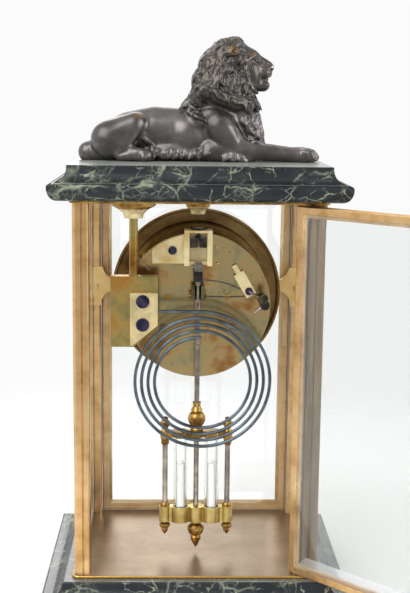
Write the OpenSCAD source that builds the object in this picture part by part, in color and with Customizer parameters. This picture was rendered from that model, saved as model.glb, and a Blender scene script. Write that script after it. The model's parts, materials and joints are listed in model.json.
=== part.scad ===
// French cage clock: a glazed brass case between two marble slabs, with a couchant lion on top,
// a round striking movement with its gong, and a twin vial pendulum.
// Origin: centre of the plinth's underside. +Z up, the dial looks along -Y, the rear door is on +Y.
// The rear door is drawn open by rear_open degrees, as it stands at rest.

/* [Case] */
// Width of the case over its corner pillars
case_w = 168; // [140:1:204]
// Depth of the case over its corner pillars
case_d = 130.6; // [124:0.1:160]
// Height of the corner pillars between the two brass plates
pillar_h = 257; // [240:1:310]
// Side of a corner pillar's square section
pillar_w = 10.8; // [9.5:0.1:13]
// Thickness of the brass top and base plates
plate_t = 2; // [1.5:0.1:3]
// How far the brass plates stand out past the pillars
plate_lip = 2; // [1:0.1:4]
// Thickness of the bevelled side glasses
side_glass_t = 2.8; // [2:0.1:3.2]

/* [Marble] */
// Height of the marble plinth
plinth_h = 36; // [30:1:50]
// Overhang of the plinth's lip past the pillars
plinth_lip = 22.8; // [15:0.1:30]
// Overhang of the plinth's top edge past the pillars
plinth_top_lip = 8.1; // [5:0.1:12]
// Height of the marble cornice
cornice_h = 23; // [18:0.5:30]
// Overhang of the cornice's lip past the pillars
cornice_lip = 15; // [10:0.1:22]

/* [Doors] */
// Thickness of a door's brass frame
door_t = 4; // [3.4:0.1:5]
// Width of the bars of a door's frame
door_bar = 8; // [6:0.1:10]
// Gap between a door and the pillars at its sides
door_gap = 0.3; // [0.2:0.05:0.6]
// Distance of the hinge pins from the door's edge
pin_in = 4.6; // [3.5:0.1:5]
// Diameter of the hinge pins
pin_d = 2; // [1.6:0.1:2.4]
// Angle by which the rear door stands open
rear_open = 135; // [0:1:140]
// Thickness of the door glasses
door_glass_t = 2.2; // [1.6:0.1:2.6]

/* [Movement] */
// Height of the dial's centre above the base plate
centre_h = 180; // [165:1:190]
// Radius of the movement's round plates
movement_r = 52; // [51:0.5:55]
// Thickness of the movement plates
movement_t = 2; // [1.6:0.1:2.6]
// Depth of the back plate's rear face behind the case's middle
back_y = 11; // [6:0.5:12]
// Distance between the movement plates
plate_gap = 43; // [38:1:46]
// Radius of the dial pan
pan_r = 64; // [61.5:0.5:66]

/* [Pendulum] */
// Depth of the pendulum behind the case's middle
pendulum_y = 22; // [20:0.5:24]
// Height from the suspension axis to the rod's turned knob
rod_len = 112; // [105:1:118]
// Diameter of the pendulum rod
rod_d = 3.7; // [3:0.1:4.5]
// Outer diameter of a glass vial
vial_d = 10.4; // [8:0.1:11]
// Distance from the rod to a vial's centre
vial_x = 11.2; // [9.8:0.1:13]
// Height of the frame's clear space between its gallery and its base
vial_space = 51.8; // [45:0.1:56]
// Height of the mercury in a vial
mercury_h = 41; // [20:1:44]

/* [Gong] */
// Diameter of the gong's wire
wire_d = 2.3; // [1.6:0.1:2.6]
// Radius of the gong's outer turn
gong_r = 49.4; // [44:0.1:50]
// Step from one turn of the gong to the next
gong_pitch = 4.55; // [3.6:0.05:5]
// Number of whole turns of the gong
gong_turns = 4; // [2:1:5]
// Depth of the gong's plane behind the case's middle
gong_y = 36; // [35:0.5:40]
// Diameter of the post that carries the gong
post_d = 5.9; // [4:0.1:7]

/* [Hidden] */
$fn = 48;

// Clearances: a shaft in its bore, faces that stay apart, and seated faces of loose parts
run_fit = 0.05;
clear = 0.3;
seat = 0.1;

// Heights and half sizes of the case
base_z = plinth_h + plate_t;
top_z = base_z + pillar_h;
cornice_z = top_z + plate_t;
lion_z = cornice_z + cornice_h;
hx = case_w / 2;
hy = case_d / 2;
plate_rounding = 5;

// Screws and stud that hold the case together
screw_in = pillar_w / 2 + 0.8;
case_screw_r = 1.5;
case_screw_len = 12;
case_head_r = 3;
case_head_t = 1.6;
stud_r = 2.5;

// Glass groove in the pillars
groove_in = 2.1;
groove_w = side_glass_t + 0.4;
groove_deep = 2.2;
glass_x = hx - groove_in - groove_w / 2;

// Doors: the hinge axes and the leaf
door_w = case_w - 2 * pillar_w - 2 * door_gap;
door_gap_z = 0.5;
door_h = pillar_h - 2 * door_gap_z;
hinge_x = hx - pillar_w - door_gap - pin_in;
hinge_y = hy - door_t / 2;
pin_len = 8;
latch_in = 3.4;
latch_reach = 5.6;
latch_w = 4.8;
latch_r = 1.4;
latch_t = 2;
latch_z = base_z + pillar_h / 2;
tongue_y = door_t / 2 + 0.2;
rebate = 2.5;
rebate_deep = door_glass_t + 0.2;

// Movement: the dial's centre and the faces along Y
cz = base_z + centre_h;
back_in = back_y - movement_t;
front_in = back_in - plate_gap;
front_y = front_in - movement_t;
bracket_t = 2;
bracket_y = -(hy - pillar_w) + bracket_t;
bracket_screw_x = hx - pillar_w / 2 - 2;
bracket_screw_z = cz + 2.4;
bracket_screw_r = 1.2;
plate_screw_r = 1.2;
cock_screw_at = [18, 39.6];
plate_studs = [[-12.2, 41.6], [-13.3, 30], [11, 28.4], [-19.5, 9.6]];
pan_t = 1.5;
dial_t = 1.8;
dial_r = 56;
dial_back = bracket_y - seat;
dial_face = dial_back - dial_t;
bezel_r = 60;
bezel_t = 3.4;

// Arbors of the trains, measured from the dial's centre
barrel_x = 21.5;
barrel_v = 6;
barrel_r = 19.2;
drum_r = 17.2;
winder_r = 2.2;
third_at = [5, 20.4];
escape_at = [0, 29.8];
pallet_v = 43;
pin_at = [-15.5, 27.3];
lock_at = [-12.7, 38.5];
fly_at = [-22.5, 38.5];
hammer_at = [-26.5, 27.7];
rating_v = 50;
arbor_r = 0.8;
hammer_arbor_r = 1.2;
rating_r = 1;
centre_r = 1.5;
pillar_at = [[24.5, -16.5], [-24.5, -16.5], [38, 29.4], [-38, 22]];
// The first two pillars take screws at the back; the others end in spigots, and a steel pin holds the third
screwed_behind = 2;
pillar_pin_lean = 48;
pillar_pin_r = 0.45;
pillar_pin_len = 12.5;

// Wheel radii follow from the distances between the arbors
centre_pinion_r = norm([barrel_x, barrel_v]) - barrel_r - clear;
leaf_r = 1.9;
centre_wheel_r = norm(third_at) - leaf_r - clear;
third_wheel_r = norm(escape_at - third_at) - leaf_r - clear;
pin_pinion_r = norm(pin_at - [-barrel_x, barrel_v]) - barrel_r - clear;
pin_wheel_r = norm(lock_at - pin_at) - leaf_r - clear;
lock_wheel_r = norm(fly_at - lock_at) - leaf_r - clear;
escape_r = 9.2;
// Levels of the wheels, from the back plate's inner face forwards
lev_escape = back_in - 3.4;
lev_third = back_in - 7;
lev_centre = back_in - 12;
lev_barrel = back_in - 17;
wheel_t = 1.2;
drum_len = plate_gap - 21;

// Motion work in front of the front plate
minute_wheel_r = 7;
cannon_r = 2.3;
motion_v = -(minute_wheel_r + cannon_r + clear);
minute_pinion_r = 2.1;
hour_wheel_r = -motion_v - minute_pinion_r - clear;
hour_pipe_r = 2.7;
hour_y = dial_face - 2;
minute_y = hour_y - 1.6;
hand_t = 0.6;
hour_angle = 60;
minute_angle = -42;

// Suspension: the axis that the pendulum and the crutch share
sus_z = cz + pallet_v;
cheek_y0 = back_y + movement_t;
cheek_y1 = pendulum_y + 3;
cock_z0 = cz + 30.2;

// Pendulum heights below the suspension axis
knob_z = sus_z - rod_len;
gallery_t = 4.6;
gallery_top = knob_z - 20;
gallery_z = gallery_top - gallery_t;
bob_top = gallery_z - vial_space;
bob_t = 11.3;
bob_z = bob_top - bob_t;
cup_floor = 2;
cup_r = vial_d / 2 + 1.4;
post_x = vial_x + cup_r + 4.6;
vial_wall = 2;

// Gong: its centre, and the block that grips its outer end
gong_x = -2.4;
gong_z = base_z + 130.6;
post_x_gong = 44.6;
block_x0 = 27.8;
block_x1 = 60.3;
block_z0 = base_z + 155.5;
block_z1 = base_z + 204.8;
block_y0 = gong_y - 5;
block_y1 = gong_y + 3;
clamp_t = 3;
clamp_screw_r = 1.8;
clamp_screws = [[38.1, base_z + 188], [38.1, base_z + 171.8]];
socket_len = 9;
gong_steps = 24;
gong_sides = 6;

// Turns a 2D shape drawn in X and Z into a solid between two depths
module along_y(y0, y1) {
    translate([0, y1, 0]) rotate([90, 0, 0]) linear_extrude(y1 - y0) children();
}

// A round rod along Y
module rod_y(x, z, y0, y1, r) {
    translate([x, y0, z]) rotate([-90, 0, 0]) cylinder(r = r, h = y1 - y0);
}

// A turned part about Y; its outline holds radius and depth
module turned_y(x, z) {
    translate([x, 0, z]) rotate([-90, 0, 0]) rotate_extrude() children();
}

// A turned part about Z; its outline holds radius and height
module turned_z(x, y) {
    translate([x, y, 0]) rotate_extrude() children();
}

// Points of an arc
function arc(cx, cy, r, a0, a1, n = 8) =
    [for (i = [0:n]) let (a = a0 + (a1 - a0) * i / n) [cx + r * cos(a), cy + r * sin(a)]];

// Half of a slab's moulding and its mirror image, as one closed outline
function both_sides(half) =
    concat(half, [for (i = [len(half) - 1:-1:0]) [-half[i][0], half[i][1]]]);

// A slab moulded alike on four sides: the outline, given as overhang and height, meets in mitres
module slab(outline) {
    intersection() {
        translate([0, case_d, 0]) rotate([90, 0, 0]) linear_extrude(2 * case_d)
            polygon(both_sides([for (p = outline) [hx + p[0], p[1]]]));
        translate([-case_w, 0, 0]) rotate([90, 0, 90]) linear_extrude(2 * case_w)
            polygon(both_sides([for (p = outline) [hy + p[0], p[1]]]));
    }
}

// The plinth's moulding: a foot, a rounded lip and a cove up to the top edge
function plinth_outline() =
    let (lip = plinth_lip, run = lip - plinth_top_lip - 3.2, top = plinth_h - 1.2, drop = 8.8)
    concat([[lip - 1, 0], [lip, 1], [lip, top - drop - 3]],
        arc(lip - 2, top - drop - 2, 2, 0, 90, 4),
        [for (i = [0:8]) let (a = 270 - i * 11.25) [plinth_top_lip + run * (1 + cos(a)), top + drop * sin(a)]],
        [[plinth_top_lip - 1, plinth_h]]);

// The cornice's moulding: a rounded lip, and a cove that ends upright under the top edge
function cornice_outline() =
    let (lip = cornice_lip, foot = lip - 6.1, top = 3.1, tip = 9.8, cove = lip - 2.3 - top)
    concat([[foot, 0]],
        arc(foot, tip - 1, 5.9, -60, -8, 5),
        [[lip, tip - 0.6], [lip - 0.4, tip + 0.8]],
        arc(top + cove, tip + 1.7 + cove, cove, 265, 183, 8),
        [[top, cornice_h - 0.6], [top - 0.6, cornice_h]]);

// Repeats its children over the four pillars, where the screws stand
module corners() {
    for (sx = [-1, 1], sy = [-1, 1]) translate([sx * (hx - screw_in), sy * (hy - screw_in), 0]) children();
}

module plinth() {
    color("#2c342f") difference() {
        slab(plinth_outline());
        corners() translate([0, 0, plinth_h - 3]) cylinder(r = case_head_r + 0.6, h = 4);
    }
}

// A rounded brass plate
module brass_plate(z) {
    r = plate_rounding;
    translate([0, 0, z]) linear_extrude(plate_t) union() {
        square([case_w + 2 * plate_lip - 2 * r, case_d + 2 * plate_lip], center = true);
        square([case_w + 2 * plate_lip, case_d + 2 * plate_lip - 2 * r], center = true);
        for (sx = [-1, 1], sy = [-1, 1])
            translate([sx * (hx + plate_lip - r), sy * (hy + plate_lip - r)]) circle(r = r);
    }
}

// Where the hinge pins of both doors stand
module hinges() {
    translate([-hinge_x, hinge_y, 0]) children();
    translate([hinge_x, -hinge_y, 0]) children();
}

module base_plate() {
    color("#c59a52") difference() {
        brass_plate(plinth_h);
        corners() translate([0, 0, plinth_h - 1]) cylinder(r = case_screw_r + run_fit, h = plate_t + 2);
        hinges() translate([0, 0, plinth_h - 1]) cylinder(d = pin_d + 2 * run_fit, h = plate_t + 2);
    }
}

module top_plate() {
    color("#b98c48") difference() {
        brass_plate(top_z);
        corners() translate([0, 0, top_z - 1]) cylinder(r = case_screw_r + run_fit, h = plate_t + 2);
        hinges() translate([0, 0, top_z - 1]) cylinder(d = pin_d + 2 * run_fit, h = plate_t + 2);
        translate([0, 0, top_z - 1]) cylinder(r = stud_r + run_fit, h = plate_t + 2);
        translate([post_x_gong, gong_y, top_z - 1]) cylinder(r = post_d / 2 + run_fit, h = plate_t + 2);
    }
}

module cornice() {
    color("#2c342f") difference() {
        translate([0, 0, cornice_z]) slab(cornice_outline());
        translate([0, 0, cornice_z - 1]) cylinder(r = stud_r + run_fit, h = cornice_h + 2);
        corners() translate([0, 0, cornice_z - 1]) cylinder(r = case_head_r + 0.6, h = 4);
        translate([post_x_gong, gong_y, cornice_z - 1]) cylinder(r = 6, h = 5);
    }
}

// A pillar's section, drawn from its outer corner inwards
module pillar_section() {
    a = pillar_w;
    bevel = 2;
    small = 0.8;
    reed = 5.5;
    polygon([[bevel, 0], [reed, 0], [reed + 0.3, 1], [reed + 0.9, 1], [reed + 1.2, 0],
        [a - 1, 0], [a, 1], [a, a - small], [a - small, a],
        [groove_in + groove_w, a], [groove_in + groove_w, a - groove_deep],
        [groove_in, a - groove_deep], [groove_in, a], [small, a], [0, a - small],
        [0, reed + 1.2], [1, reed + 0.9], [1, reed + 0.3], [0, reed], [0, bevel]]);
}

// A corner pillar; the pocket takes the tongue of a door's latch
module pillar(sx, sy, pocket) {
    color("#c8964a") difference() {
        translate([sx * hx, sy * hy, base_z]) mirror([sx > 0 ? 1 : 0, 0, 0]) mirror([0, sy > 0 ? 1 : 0, 0])
            linear_extrude(pillar_h) pillar_section();
        for (z = [base_z - 1, top_z - case_screw_len - 1])
            translate([sx * (hx - screw_in), sy * (hy - screw_in), z])
                cylinder(r = case_screw_r + run_fit, h = case_screw_len + 2);
        if (pocket) {
            pocket_x = sx * (hx - pillar_w + 1.1);
            pocket_y = sy * (hinge_y - tongue_y - latch_t / 2);
            translate([pocket_x, pocket_y, latch_z + 1.8]) cube([4.2, latch_t + 0.8, 9.6], center = true);
        }
        if (sy < 0)
            rod_y(sx * bracket_screw_x, bracket_screw_z, -hy + 2, -hy + pillar_w + 1, bracket_screw_r + run_fit);
    }
}

module pillar_front_left() { pillar(-1, -1, true); }
module pillar_front_right() { pillar(1, -1, false); }
module pillar_rear_left() { pillar(-1, 1, false); }
module pillar_rear_right() { pillar(1, 1, true); }

// Round headed screws through the plates into the pillars' ends, and the brackets' screws
module case_screws() {
    color("#b08a50") {
        corners() translate([0, 0, plinth_h - case_head_t]) cylinder(r = case_head_r, h = case_head_t);
        corners() translate([0, 0, plinth_h - 0.1]) cylinder(r = case_screw_r, h = case_screw_len + plate_t);
        corners() translate([0, 0, cornice_z]) cylinder(r = case_head_r, h = case_head_t);
        corners() translate([0, 0, top_z - case_screw_len])
            cylinder(r = case_screw_r, h = case_screw_len + plate_t + 0.1);
        for (sx = [-1, 1]) {
            rod_y(sx * bracket_screw_x, bracket_screw_z, -hy + 3, bracket_y + 0.1, bracket_screw_r);
            rod_y(sx * bracket_screw_x, bracket_screw_z, bracket_y, bracket_y + 1, 2.2);
        }
    }
}

// A glass with a wide bevel round its outer face; it stands along Y, thickness along X
module side_glass(s) {
    bevel = 9;
    drop = 1.2;
    wide = case_d - 2 * pillar_w + 2 * groove_deep - 2 * seat;
    tall = pillar_h - 2 * seat;
    x0 = glass_x - side_glass_t / 2;
    color("#dfe9e6", 0.4) mirror([s < 0 ? 1 : 0, 0, 0]) hull() {
        translate([x0, -wide / 2, base_z + seat]) cube([side_glass_t - drop, wide, tall]);
        translate([x0, -wide / 2 + bevel, base_z + seat + bevel])
            cube([side_glass_t, wide - 2 * bevel, tall - 2 * bevel]);
    }
}
module side_glass_left() { side_glass(-1); }
module side_glass_right() { side_glass(1); }

// Stud that holds the lion and the cornice down on the top plate
module lion_stud() {
    color("#8a6c3a") translate([0, 0, top_z - 13]) cylinder(r = stud_r, h = cornice_h + plate_t + 13 - 0.05);
}

// A trumpet shaped nut against the underside of the top plate
module flared_nut(x, y, wide, narrow, h, bore, rim) {
    n = 6;
    flare = [for (i = [0:n]) let (t = i / n) [narrow + (wide - narrow) * pow(t, 2.2), top_z - rim - (h - rim) * (1 - t)]];
    turned_z(x, y) polygon(concat([[bore, top_z - h]], flare, [[wide, top_z], [bore, top_z]]));
}

module flared_nuts() {
    color("#c2a25a") {
        flared_nut(post_x_gong, gong_y, 15.2, 6.4, 12.4, post_d / 2 + run_fit, 3.8);
        flared_nut(0, 0, 8.6, 5, 12.8, stud_r + run_fit, 7.6);
    }
}

// Places a door leaf: drawn from its hinge along +X with its outer face to +Y
module on_rear_hinge() {
    translate([-hinge_x, hinge_y, 0]) rotate([0, 0, rear_open]) children();
}
module on_front_hinge() {
    translate([hinge_x, -hinge_y, 0]) rotate([0, 0, 180]) children();
}

// Frame of a door: mitred bars, with a rebate inside for the glass
module door_frame() {
    z0 = base_z + door_gap_z;
    soft = 1;
    difference() {
        translate([-pin_in, 0, z0]) linear_extrude(door_h) polygon([[soft, -door_t / 2],
            [door_w - soft, -door_t / 2], [door_w, -door_t / 2 + soft], [door_w, door_t / 2 - soft],
            [door_w - soft, door_t / 2], [soft, door_t / 2], [0, door_t / 2 - soft], [0, -door_t / 2 + soft]]);
        translate([door_bar - pin_in, -door_t, z0 + door_bar])
            cube([door_w - 2 * door_bar, 2 * door_t, door_h - 2 * door_bar]);
        translate([door_bar - pin_in - rebate, -door_t / 2 - 1, z0 + door_bar - rebate])
            cube([door_w - 2 * door_bar + 2 * rebate, rebate_deep + 1, door_h - 2 * door_bar + 2 * rebate]);
        for (z = [z0 - 1, z0 + door_h - pin_len - 0.5])
            translate([0, 0, z]) cylinder(d = pin_d + 4 * run_fit, h = pin_len + 1.5);
        rod_y(door_w - pin_in - latch_in, latch_z, -door_t, door_t, latch_r + run_fit);
    }
}

// Glass of a door, bevelled towards the outside
module door_glass() {
    z0 = base_z + door_gap_z + door_bar - rebate + seat;
    x0 = door_bar - pin_in - rebate + seat;
    wide = door_w - 2 * door_bar + 2 * rebate - 2 * seat;
    tall = door_h - 2 * door_bar + 2 * rebate - 2 * seat;
    y0 = -door_t / 2 + 0.1;
    bevel = 9;
    drop = 1;
    hull() {
        translate([x0, y0, z0]) cube([wide, door_glass_t - drop, tall]);
        translate([x0 + bevel, y0, z0 + bevel]) cube([wide - 2 * bevel, door_glass_t, tall - 2 * bevel]);
    }
}

// Turning catch of a door: a knob outside, a shaft, and a tongue inside, which stands upright when free
module door_latch() {
    x = door_w - pin_in - latch_in;
    rod_y(x, latch_z, -tongue_y - 0.1, door_t / 2 + 0.4, latch_r);
    turned_y(x, latch_z) polygon(concat([[0, door_t / 2 + 0.2], [2.6, door_t / 2 + 0.2], [2.6, door_t / 2 + 1.2],
        [1.8, door_t / 2 + 2]], arc(0, door_t / 2 + 5.6, 3.9, -62, 90, 10)));
    translate([x - latch_w / 2, -tongue_y - latch_t, latch_z - latch_w / 2])
        cube([latch_w, latch_t, latch_reach + latch_w / 2]);
}

module front_door_frame() { color("#c8964a") on_front_hinge() door_frame(); }
module front_door_glass() { color("#dfe9e6", 0.4) on_front_hinge() door_glass(); }
module front_door_latch() { color("#c8964a") on_front_hinge() door_latch(); }
module rear_door_frame() { color("#c8964a") on_rear_hinge() door_frame(); }
module rear_door_glass() { color("#dfe9e6", 0.4) on_rear_hinge() door_glass(); }
module rear_door_latch() { color("#c8964a") on_rear_hinge() door_latch(); }

// Four hinge pins, driven through the plates into the doors
module door_pins() {
    color("#8d7040") hinges() {
        translate([0, 0, plinth_h]) cylinder(d = pin_d, h = plate_t + door_gap_z + pin_len - 0.5);
        translate([0, 0, top_z - door_gap_z - pin_len + 0.5])
            cylinder(d = pin_d, h = plate_t + door_gap_z + pin_len - 0.5);
    }
}

// Dished pan that carries the movement: a flange, a rolled rim and a tube round the front plate
module dial_pan() {
    y0 = bracket_y;
    tube = movement_r + run_fit;
    color("#8f7446") difference() {
        turned_y(0, cz) polygon([[tube, y0], [pan_r, y0], [pan_r, y0 + 6.5], [pan_r - 1.7, y0 + 6.5],
            [pan_r - 1.7, y0 + pan_t + 1], [pan_r - 2.7, y0 + pan_t], [tube + 2.2, y0 + pan_t],
            [tube + 1.4, y0 + pan_t + 1], [tube + 1.4, front_in], [tube, front_in]]);
        for (a = [52, 128, 218]) translate([0, 0, cz]) rotate([0, -a, 0])
            translate([pan_r, y0 + 5.6, 0]) cube([6, 3, 1.2], center = true);
    }
}

module bezel() {
    color("#cfa050") turned_y(0, cz) polygon(concat([[dial_r + seat, bracket_y], [dial_r + seat, dial_face - seat],
        [dial_r - 3, dial_face - seat], [dial_r - 3.6, dial_face - 0.8], [dial_r - 2.6, dial_face - 1.6]],
        arc(bezel_r - 2.6, dial_face - 0.4, 2.6, -150, 0, 8), [[bezel_r, bracket_y]]));
}

module dial() {
    color("#f1ece0") difference() {
        turned_y(0, cz) polygon([[0, dial_face], [dial_r - 1, dial_face], [dial_r, dial_face + 0.6],
            [dial_r, dial_back], [0, dial_back]]);
        rod_y(0, cz, dial_face - 1, dial_back + 1, hour_pipe_r + 0.5);
        for (s = [-1, 1]) rod_y(s * barrel_x, cz + barrel_v, dial_face - 1, dial_back + 1, winder_r + 0.8);
        rod_y(0, cz + rating_v, dial_face - 1, dial_back + 1, rating_r + 0.5);
    }
}

// Outline of a bracket, for the side with positive X: a scrolled arm from the pan to the pillar
module bracket_outline() {
    tip_x = glass_x - side_glass_t / 2 - clear;
    root_x = bezel_r + 0.4;
    difference() {
        translate([root_x, cz - 12]) square([tip_x - root_x, 30]);
        translate([root_x + 0.2, cz + 18.6]) circle(r = 10.4);
        translate([root_x + 0.2, cz - 11.4]) circle(r = 12);
        translate([0, cz]) circle(r = bezel_r + 0.4);
        translate([tip_x - 0.6, cz - 7]) circle(r = 1.6);
    }
}

module brackets() {
    color("#c8a45a") difference() {
        along_y(bracket_y - bracket_t, bracket_y) union() {
            bracket_outline();
            mirror([1, 0]) bracket_outline();
        }
        for (sx = [-1, 1])
            rod_y(sx * bracket_screw_x, bracket_screw_z, bracket_y - 3, bracket_y + 1, bracket_screw_r + run_fit);
    }
}

// A round movement plate, without its holes
module round_plate(y0) {
    rod_y(0, cz, y0, y0 + movement_t, movement_r);
}

// Holes for the pivots of both trains, through one plate
module pivot_holes(y0, y1) {
    for (p = [third_at, escape_at, pin_at, lock_at, fly_at]) rod_y(p[0], cz + p[1], y0, y1, arbor_r + run_fit);
    for (s = [-1, 1]) rod_y(s * barrel_x, cz + barrel_v, y0, y1, winder_r + run_fit);
    rod_y(0, cz, y0, y1, centre_r + run_fit);
    rod_y(hammer_at[0], cz + hammer_at[1], y0, y1, hammer_arbor_r + run_fit);
    rod_y(0, cz + rating_v, y0, y1, rating_r + run_fit);
    for (p = pillar_at) rod_y(p[0], cz + p[1], y0, y1, plate_screw_r + run_fit);
}

module front_plate() {
    color("#c2a25a") difference() {
        round_plate(front_y);
        pivot_holes(front_y - 1, front_in + 1);
        rod_y(0, cz + pallet_v, front_y - 1, front_in + 1, arbor_r + run_fit);
    }
}

module back_plate() {
    color("#a8884a") difference() {
        union() {
            round_plate(back_in);
            for (p = plate_studs) turned_y(p[0], cz + p[1]) polygon([[0, back_y - 0.5], [1.2, back_y - 0.5],
                [1.2, back_y + 0.7], [0.8, back_y + 1.1], [0, back_y + 1.2]]);
        }
        pivot_holes(back_in - 1, back_y + 1);
        rod_y(0, cz + pallet_v, back_in - 1, back_y + 1, 2.4);
        rod_y(cock_screw_at[0], cz + cock_screw_at[1], back_y - 1.5, back_y + 1, plate_screw_r + run_fit);
    }
}

module plate_pillars() {
    color("#c2a25a") for (i = [0 : len(pillar_at) - 1]) difference() {
        p = pillar_at[i];
        screwed = i < screwed_behind;
        spigot = screwed ? [[0, back_in]] : [[plate_screw_r, back_in], [plate_screw_r, back_y + (i == 2 ? 2 : 0)],
            [0, back_y + (i == 2 ? 2 : 0)]];
        turned_y(p[0], cz + p[1]) polygon(concat([[0, front_in], [3, front_in], [3, front_in + 2],
            [2.2, front_in + 3.5], [2.2, back_in - 3.5], [3, back_in - 2], [3, back_in]], spigot));
        if (screwed) rod_y(p[0], cz + p[1], back_in - 7, back_in + 1, plate_screw_r + run_fit);
        rod_y(p[0], cz + p[1], front_in - 1, front_in + 7, plate_screw_r + run_fit);
        if (i == 2) pillar_pin(pillar_pin_r + run_fit, 2 * pillar_pin_len);
    }
}

// A pin across the spigot of the third pillar, close to the back plate's face
module pillar_pin(r, len) {
    translate([pillar_at[2][0], back_y + run_fit + pillar_pin_r, cz + pillar_at[2][1]])
        rotate([0, 90 - pillar_pin_lean, 0]) cylinder(r = r, h = len, center = true);
}

// A blued screw along Y: a slotted head that rests on a face, and a shank into the metal; dir points outwards
module blued_screw(x, z, y, dir, head_r, shank_r, shank) {
    head_t = 1.6;
    translate([x, y, z]) rotate([-90 * dir, 0, 0]) difference() {
        union() {
            cylinder(r = head_r, h = head_t);
            translate([0, 0, -shank]) cylinder(r = shank_r, h = shank + 0.1);
        }
        translate([-head_r - 1, -0.35, head_t - 0.6]) cube([2 * head_r + 2, 0.7, 1]);
    }
}

module blued_screws() {
    color("#2b3550") {
        for (i = [0 : screwed_behind - 1])
            blued_screw(pillar_at[i][0], cz + pillar_at[i][1], back_y, 1, 2.9, plate_screw_r, 6);
        for (p = pillar_at) blued_screw(p[0], cz + p[1], front_y, -1, 2.9, plate_screw_r, 6);
        pillar_pin(pillar_pin_r, pillar_pin_len);
        blued_screw(cock_screw_at[0], cz + cock_screw_at[1], cheek_y0, 1, 3, plate_screw_r, 3.2);
        for (p = clamp_screws) blued_screw(p[0], p[1], block_y1 + clamp_t, 1, 4.6, clamp_screw_r, 7);
    }
}

// A toothed wheel's outline: square cut teeth, and a rim that windows leave on the spokes
module wheel_outline(r, teeth, deep, hub, spokes, bore) {
    rim = 1.6;
    step = 360 / teeth;
    root = r - deep;
    difference() {
        polygon([for (i = [0:teeth - 1], k = [0:3])
            let (a = step * (i + [0, 0.16, 0.38, 0.54][k]), q = (k == 1 || k == 2) ? r : root) [q * cos(a), q * sin(a)]]);
        if (spokes > 0) difference() {
            circle(r = root - rim);
            circle(r = hub);
            for (i = [0:spokes - 1]) rotate(360 * i / spokes) translate([0, -0.8]) square([r, 1.6]);
        }
        if (bore > 0) circle(r = bore);
    }
}

// A toothed wheel on an arbor, seen at a place of the movement
module wheel(at, y, r, teeth, deep, spokes, bore = 0) {
    translate([at[0], 0, cz + at[1]]) along_y(y, y + wheel_t) wheel_outline(r, teeth, deep, 2.4, spokes, bore);
}

// A pinion: a few leaves, solid with its arbor
module pinion(at, y0, y1, r, leaves) {
    translate([at[0], 0, cz + at[1]]) along_y(y0, y1) wheel_outline(r, leaves, 0.6, 0, 0, 0);
}

// An arbor that runs in both plates
module arbor(at) {
    rod_y(at[0], cz + at[1], front_y + 0.5, back_y - 0.5, arbor_r);
}

// A spring barrel: the toothed drum with its cap, which turns on the winding arbor
module barrel(s) {
    at = [s * barrel_x, barrel_v];
    y1 = lev_barrel;
    y0 = y1 - drum_len;
    difference() {
        union() {
            wheel(at, y1, barrel_r, 80, 1, 0);
            rod_y(at[0], cz + at[1], y0, y1 + 0.1, drum_r);
            turned_y(at[0], cz + at[1]) polygon([[winder_r, y0 - 1.2], [4.5, y0 - 1.2], [4.5, y1 + 3], [winder_r, y1 + 3]]);
        }
        turned_y(at[0], cz + at[1]) polygon([[5.5, y0 + 1.4], [drum_r - 1, y0 + 1.4], [drum_r - 1, y1 - 1], [5.5, y1 - 1]]);
        rod_y(at[0], cz + at[1], y0 - 3, y1 + 5, winder_r + run_fit);
    }
}

module going_barrel() { color("#c9a85c") barrel(1); }
module strike_barrel() { color("#c9a85c") barrel(-1); }

// A winding arbor with its square at the dial and its ratchet in front of the front plate
module winder(s) {
    at = [s * barrel_x, barrel_v];
    square_w = 2.9;
    rod_y(at[0], cz + at[1], front_y - 4, back_y + 0.4, winder_r);
    translate([at[0], 0, cz + at[1]]) along_y(dial_face - 0.8, front_y - 3.9) square(square_w, center = true);
    translate([at[0], 0, cz + at[1]]) along_y(front_y - 2.2, front_y - 0.4)
        polygon([for (i = [0:17], k = [0:1]) let (a = 20 * (i + 0.15 * k), q = k == 0 ? 7 : 6)
            [q * cos(s * a), q * sin(s * a)]]);
}

module going_winder() { color("#8f9298") winder(1); }
module strike_winder() { color("#8f9298") winder(-1); }

// Two clicks on their screws, one for each ratchet
module clicks() {
    color("#7d828a") for (s = [-1, 1]) {
        x = s * (barrel_x + 7.2);
        z = cz + barrel_v - 7.6;
        along_y(front_y - 2, front_y - 0.05) polygon([[x - s * 1.9, z - 1.8], [x + s * 2.2, z - 1.4],
            [x + s * 2, z + 2.4], [x - s * 0.8, z + 3.4]]);
        rod_y(x, z, front_y - 2.8, front_y - 1.9, 1.9);
    }
}

// Two wire springs on the back plate, each on a round foot
module strike_springs() {
    color("#8b8780") for (w = [[[-5.2, 18.3], [-14, 17.3], [-22, 15.5], [-30.2, 11.8]], [[-5.4, 6.4], [-20, 6.1], [-34, 6.6]]]) {
        rod_y(w[0][0], cz + w[0][1], back_y, back_y + 1.6, 1.1);
        for (i = [0 : len(w) - 2]) translate([w[i][0], back_y + 1.1, cz + w[i][1]]) {
            run = w[i + 1] - w[i];
            sphere(r = 0.42);
            rotate([0, atan2(run[0], run[1]), 0]) cylinder(r = 0.36, h = norm(run));
        }
    }
}

module centre_wheel() {
    color("#c9a85c") {
        rod_y(0, cz, minute_y - hand_t - 1.6, back_y - 0.5, centre_r);
        pinion([0, 0], lev_barrel - 1.5, lev_barrel + 3, centre_pinion_r, 10);
        wheel([0, 0], lev_centre, centre_wheel_r, 72, 0.9, 5);
        pinion([0, 0], front_y - 3.6, front_y - 1.2, cannon_r, 12);
    }
}

module third_wheel() {
    color("#c9a85c") {
        arbor(third_at);
        pinion(third_at, lev_centre - 1.5, lev_centre + 2.6, leaf_r, 6);
        wheel(third_at, lev_third, third_wheel_r, 60, 0.6, 4);
    }
}

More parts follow.
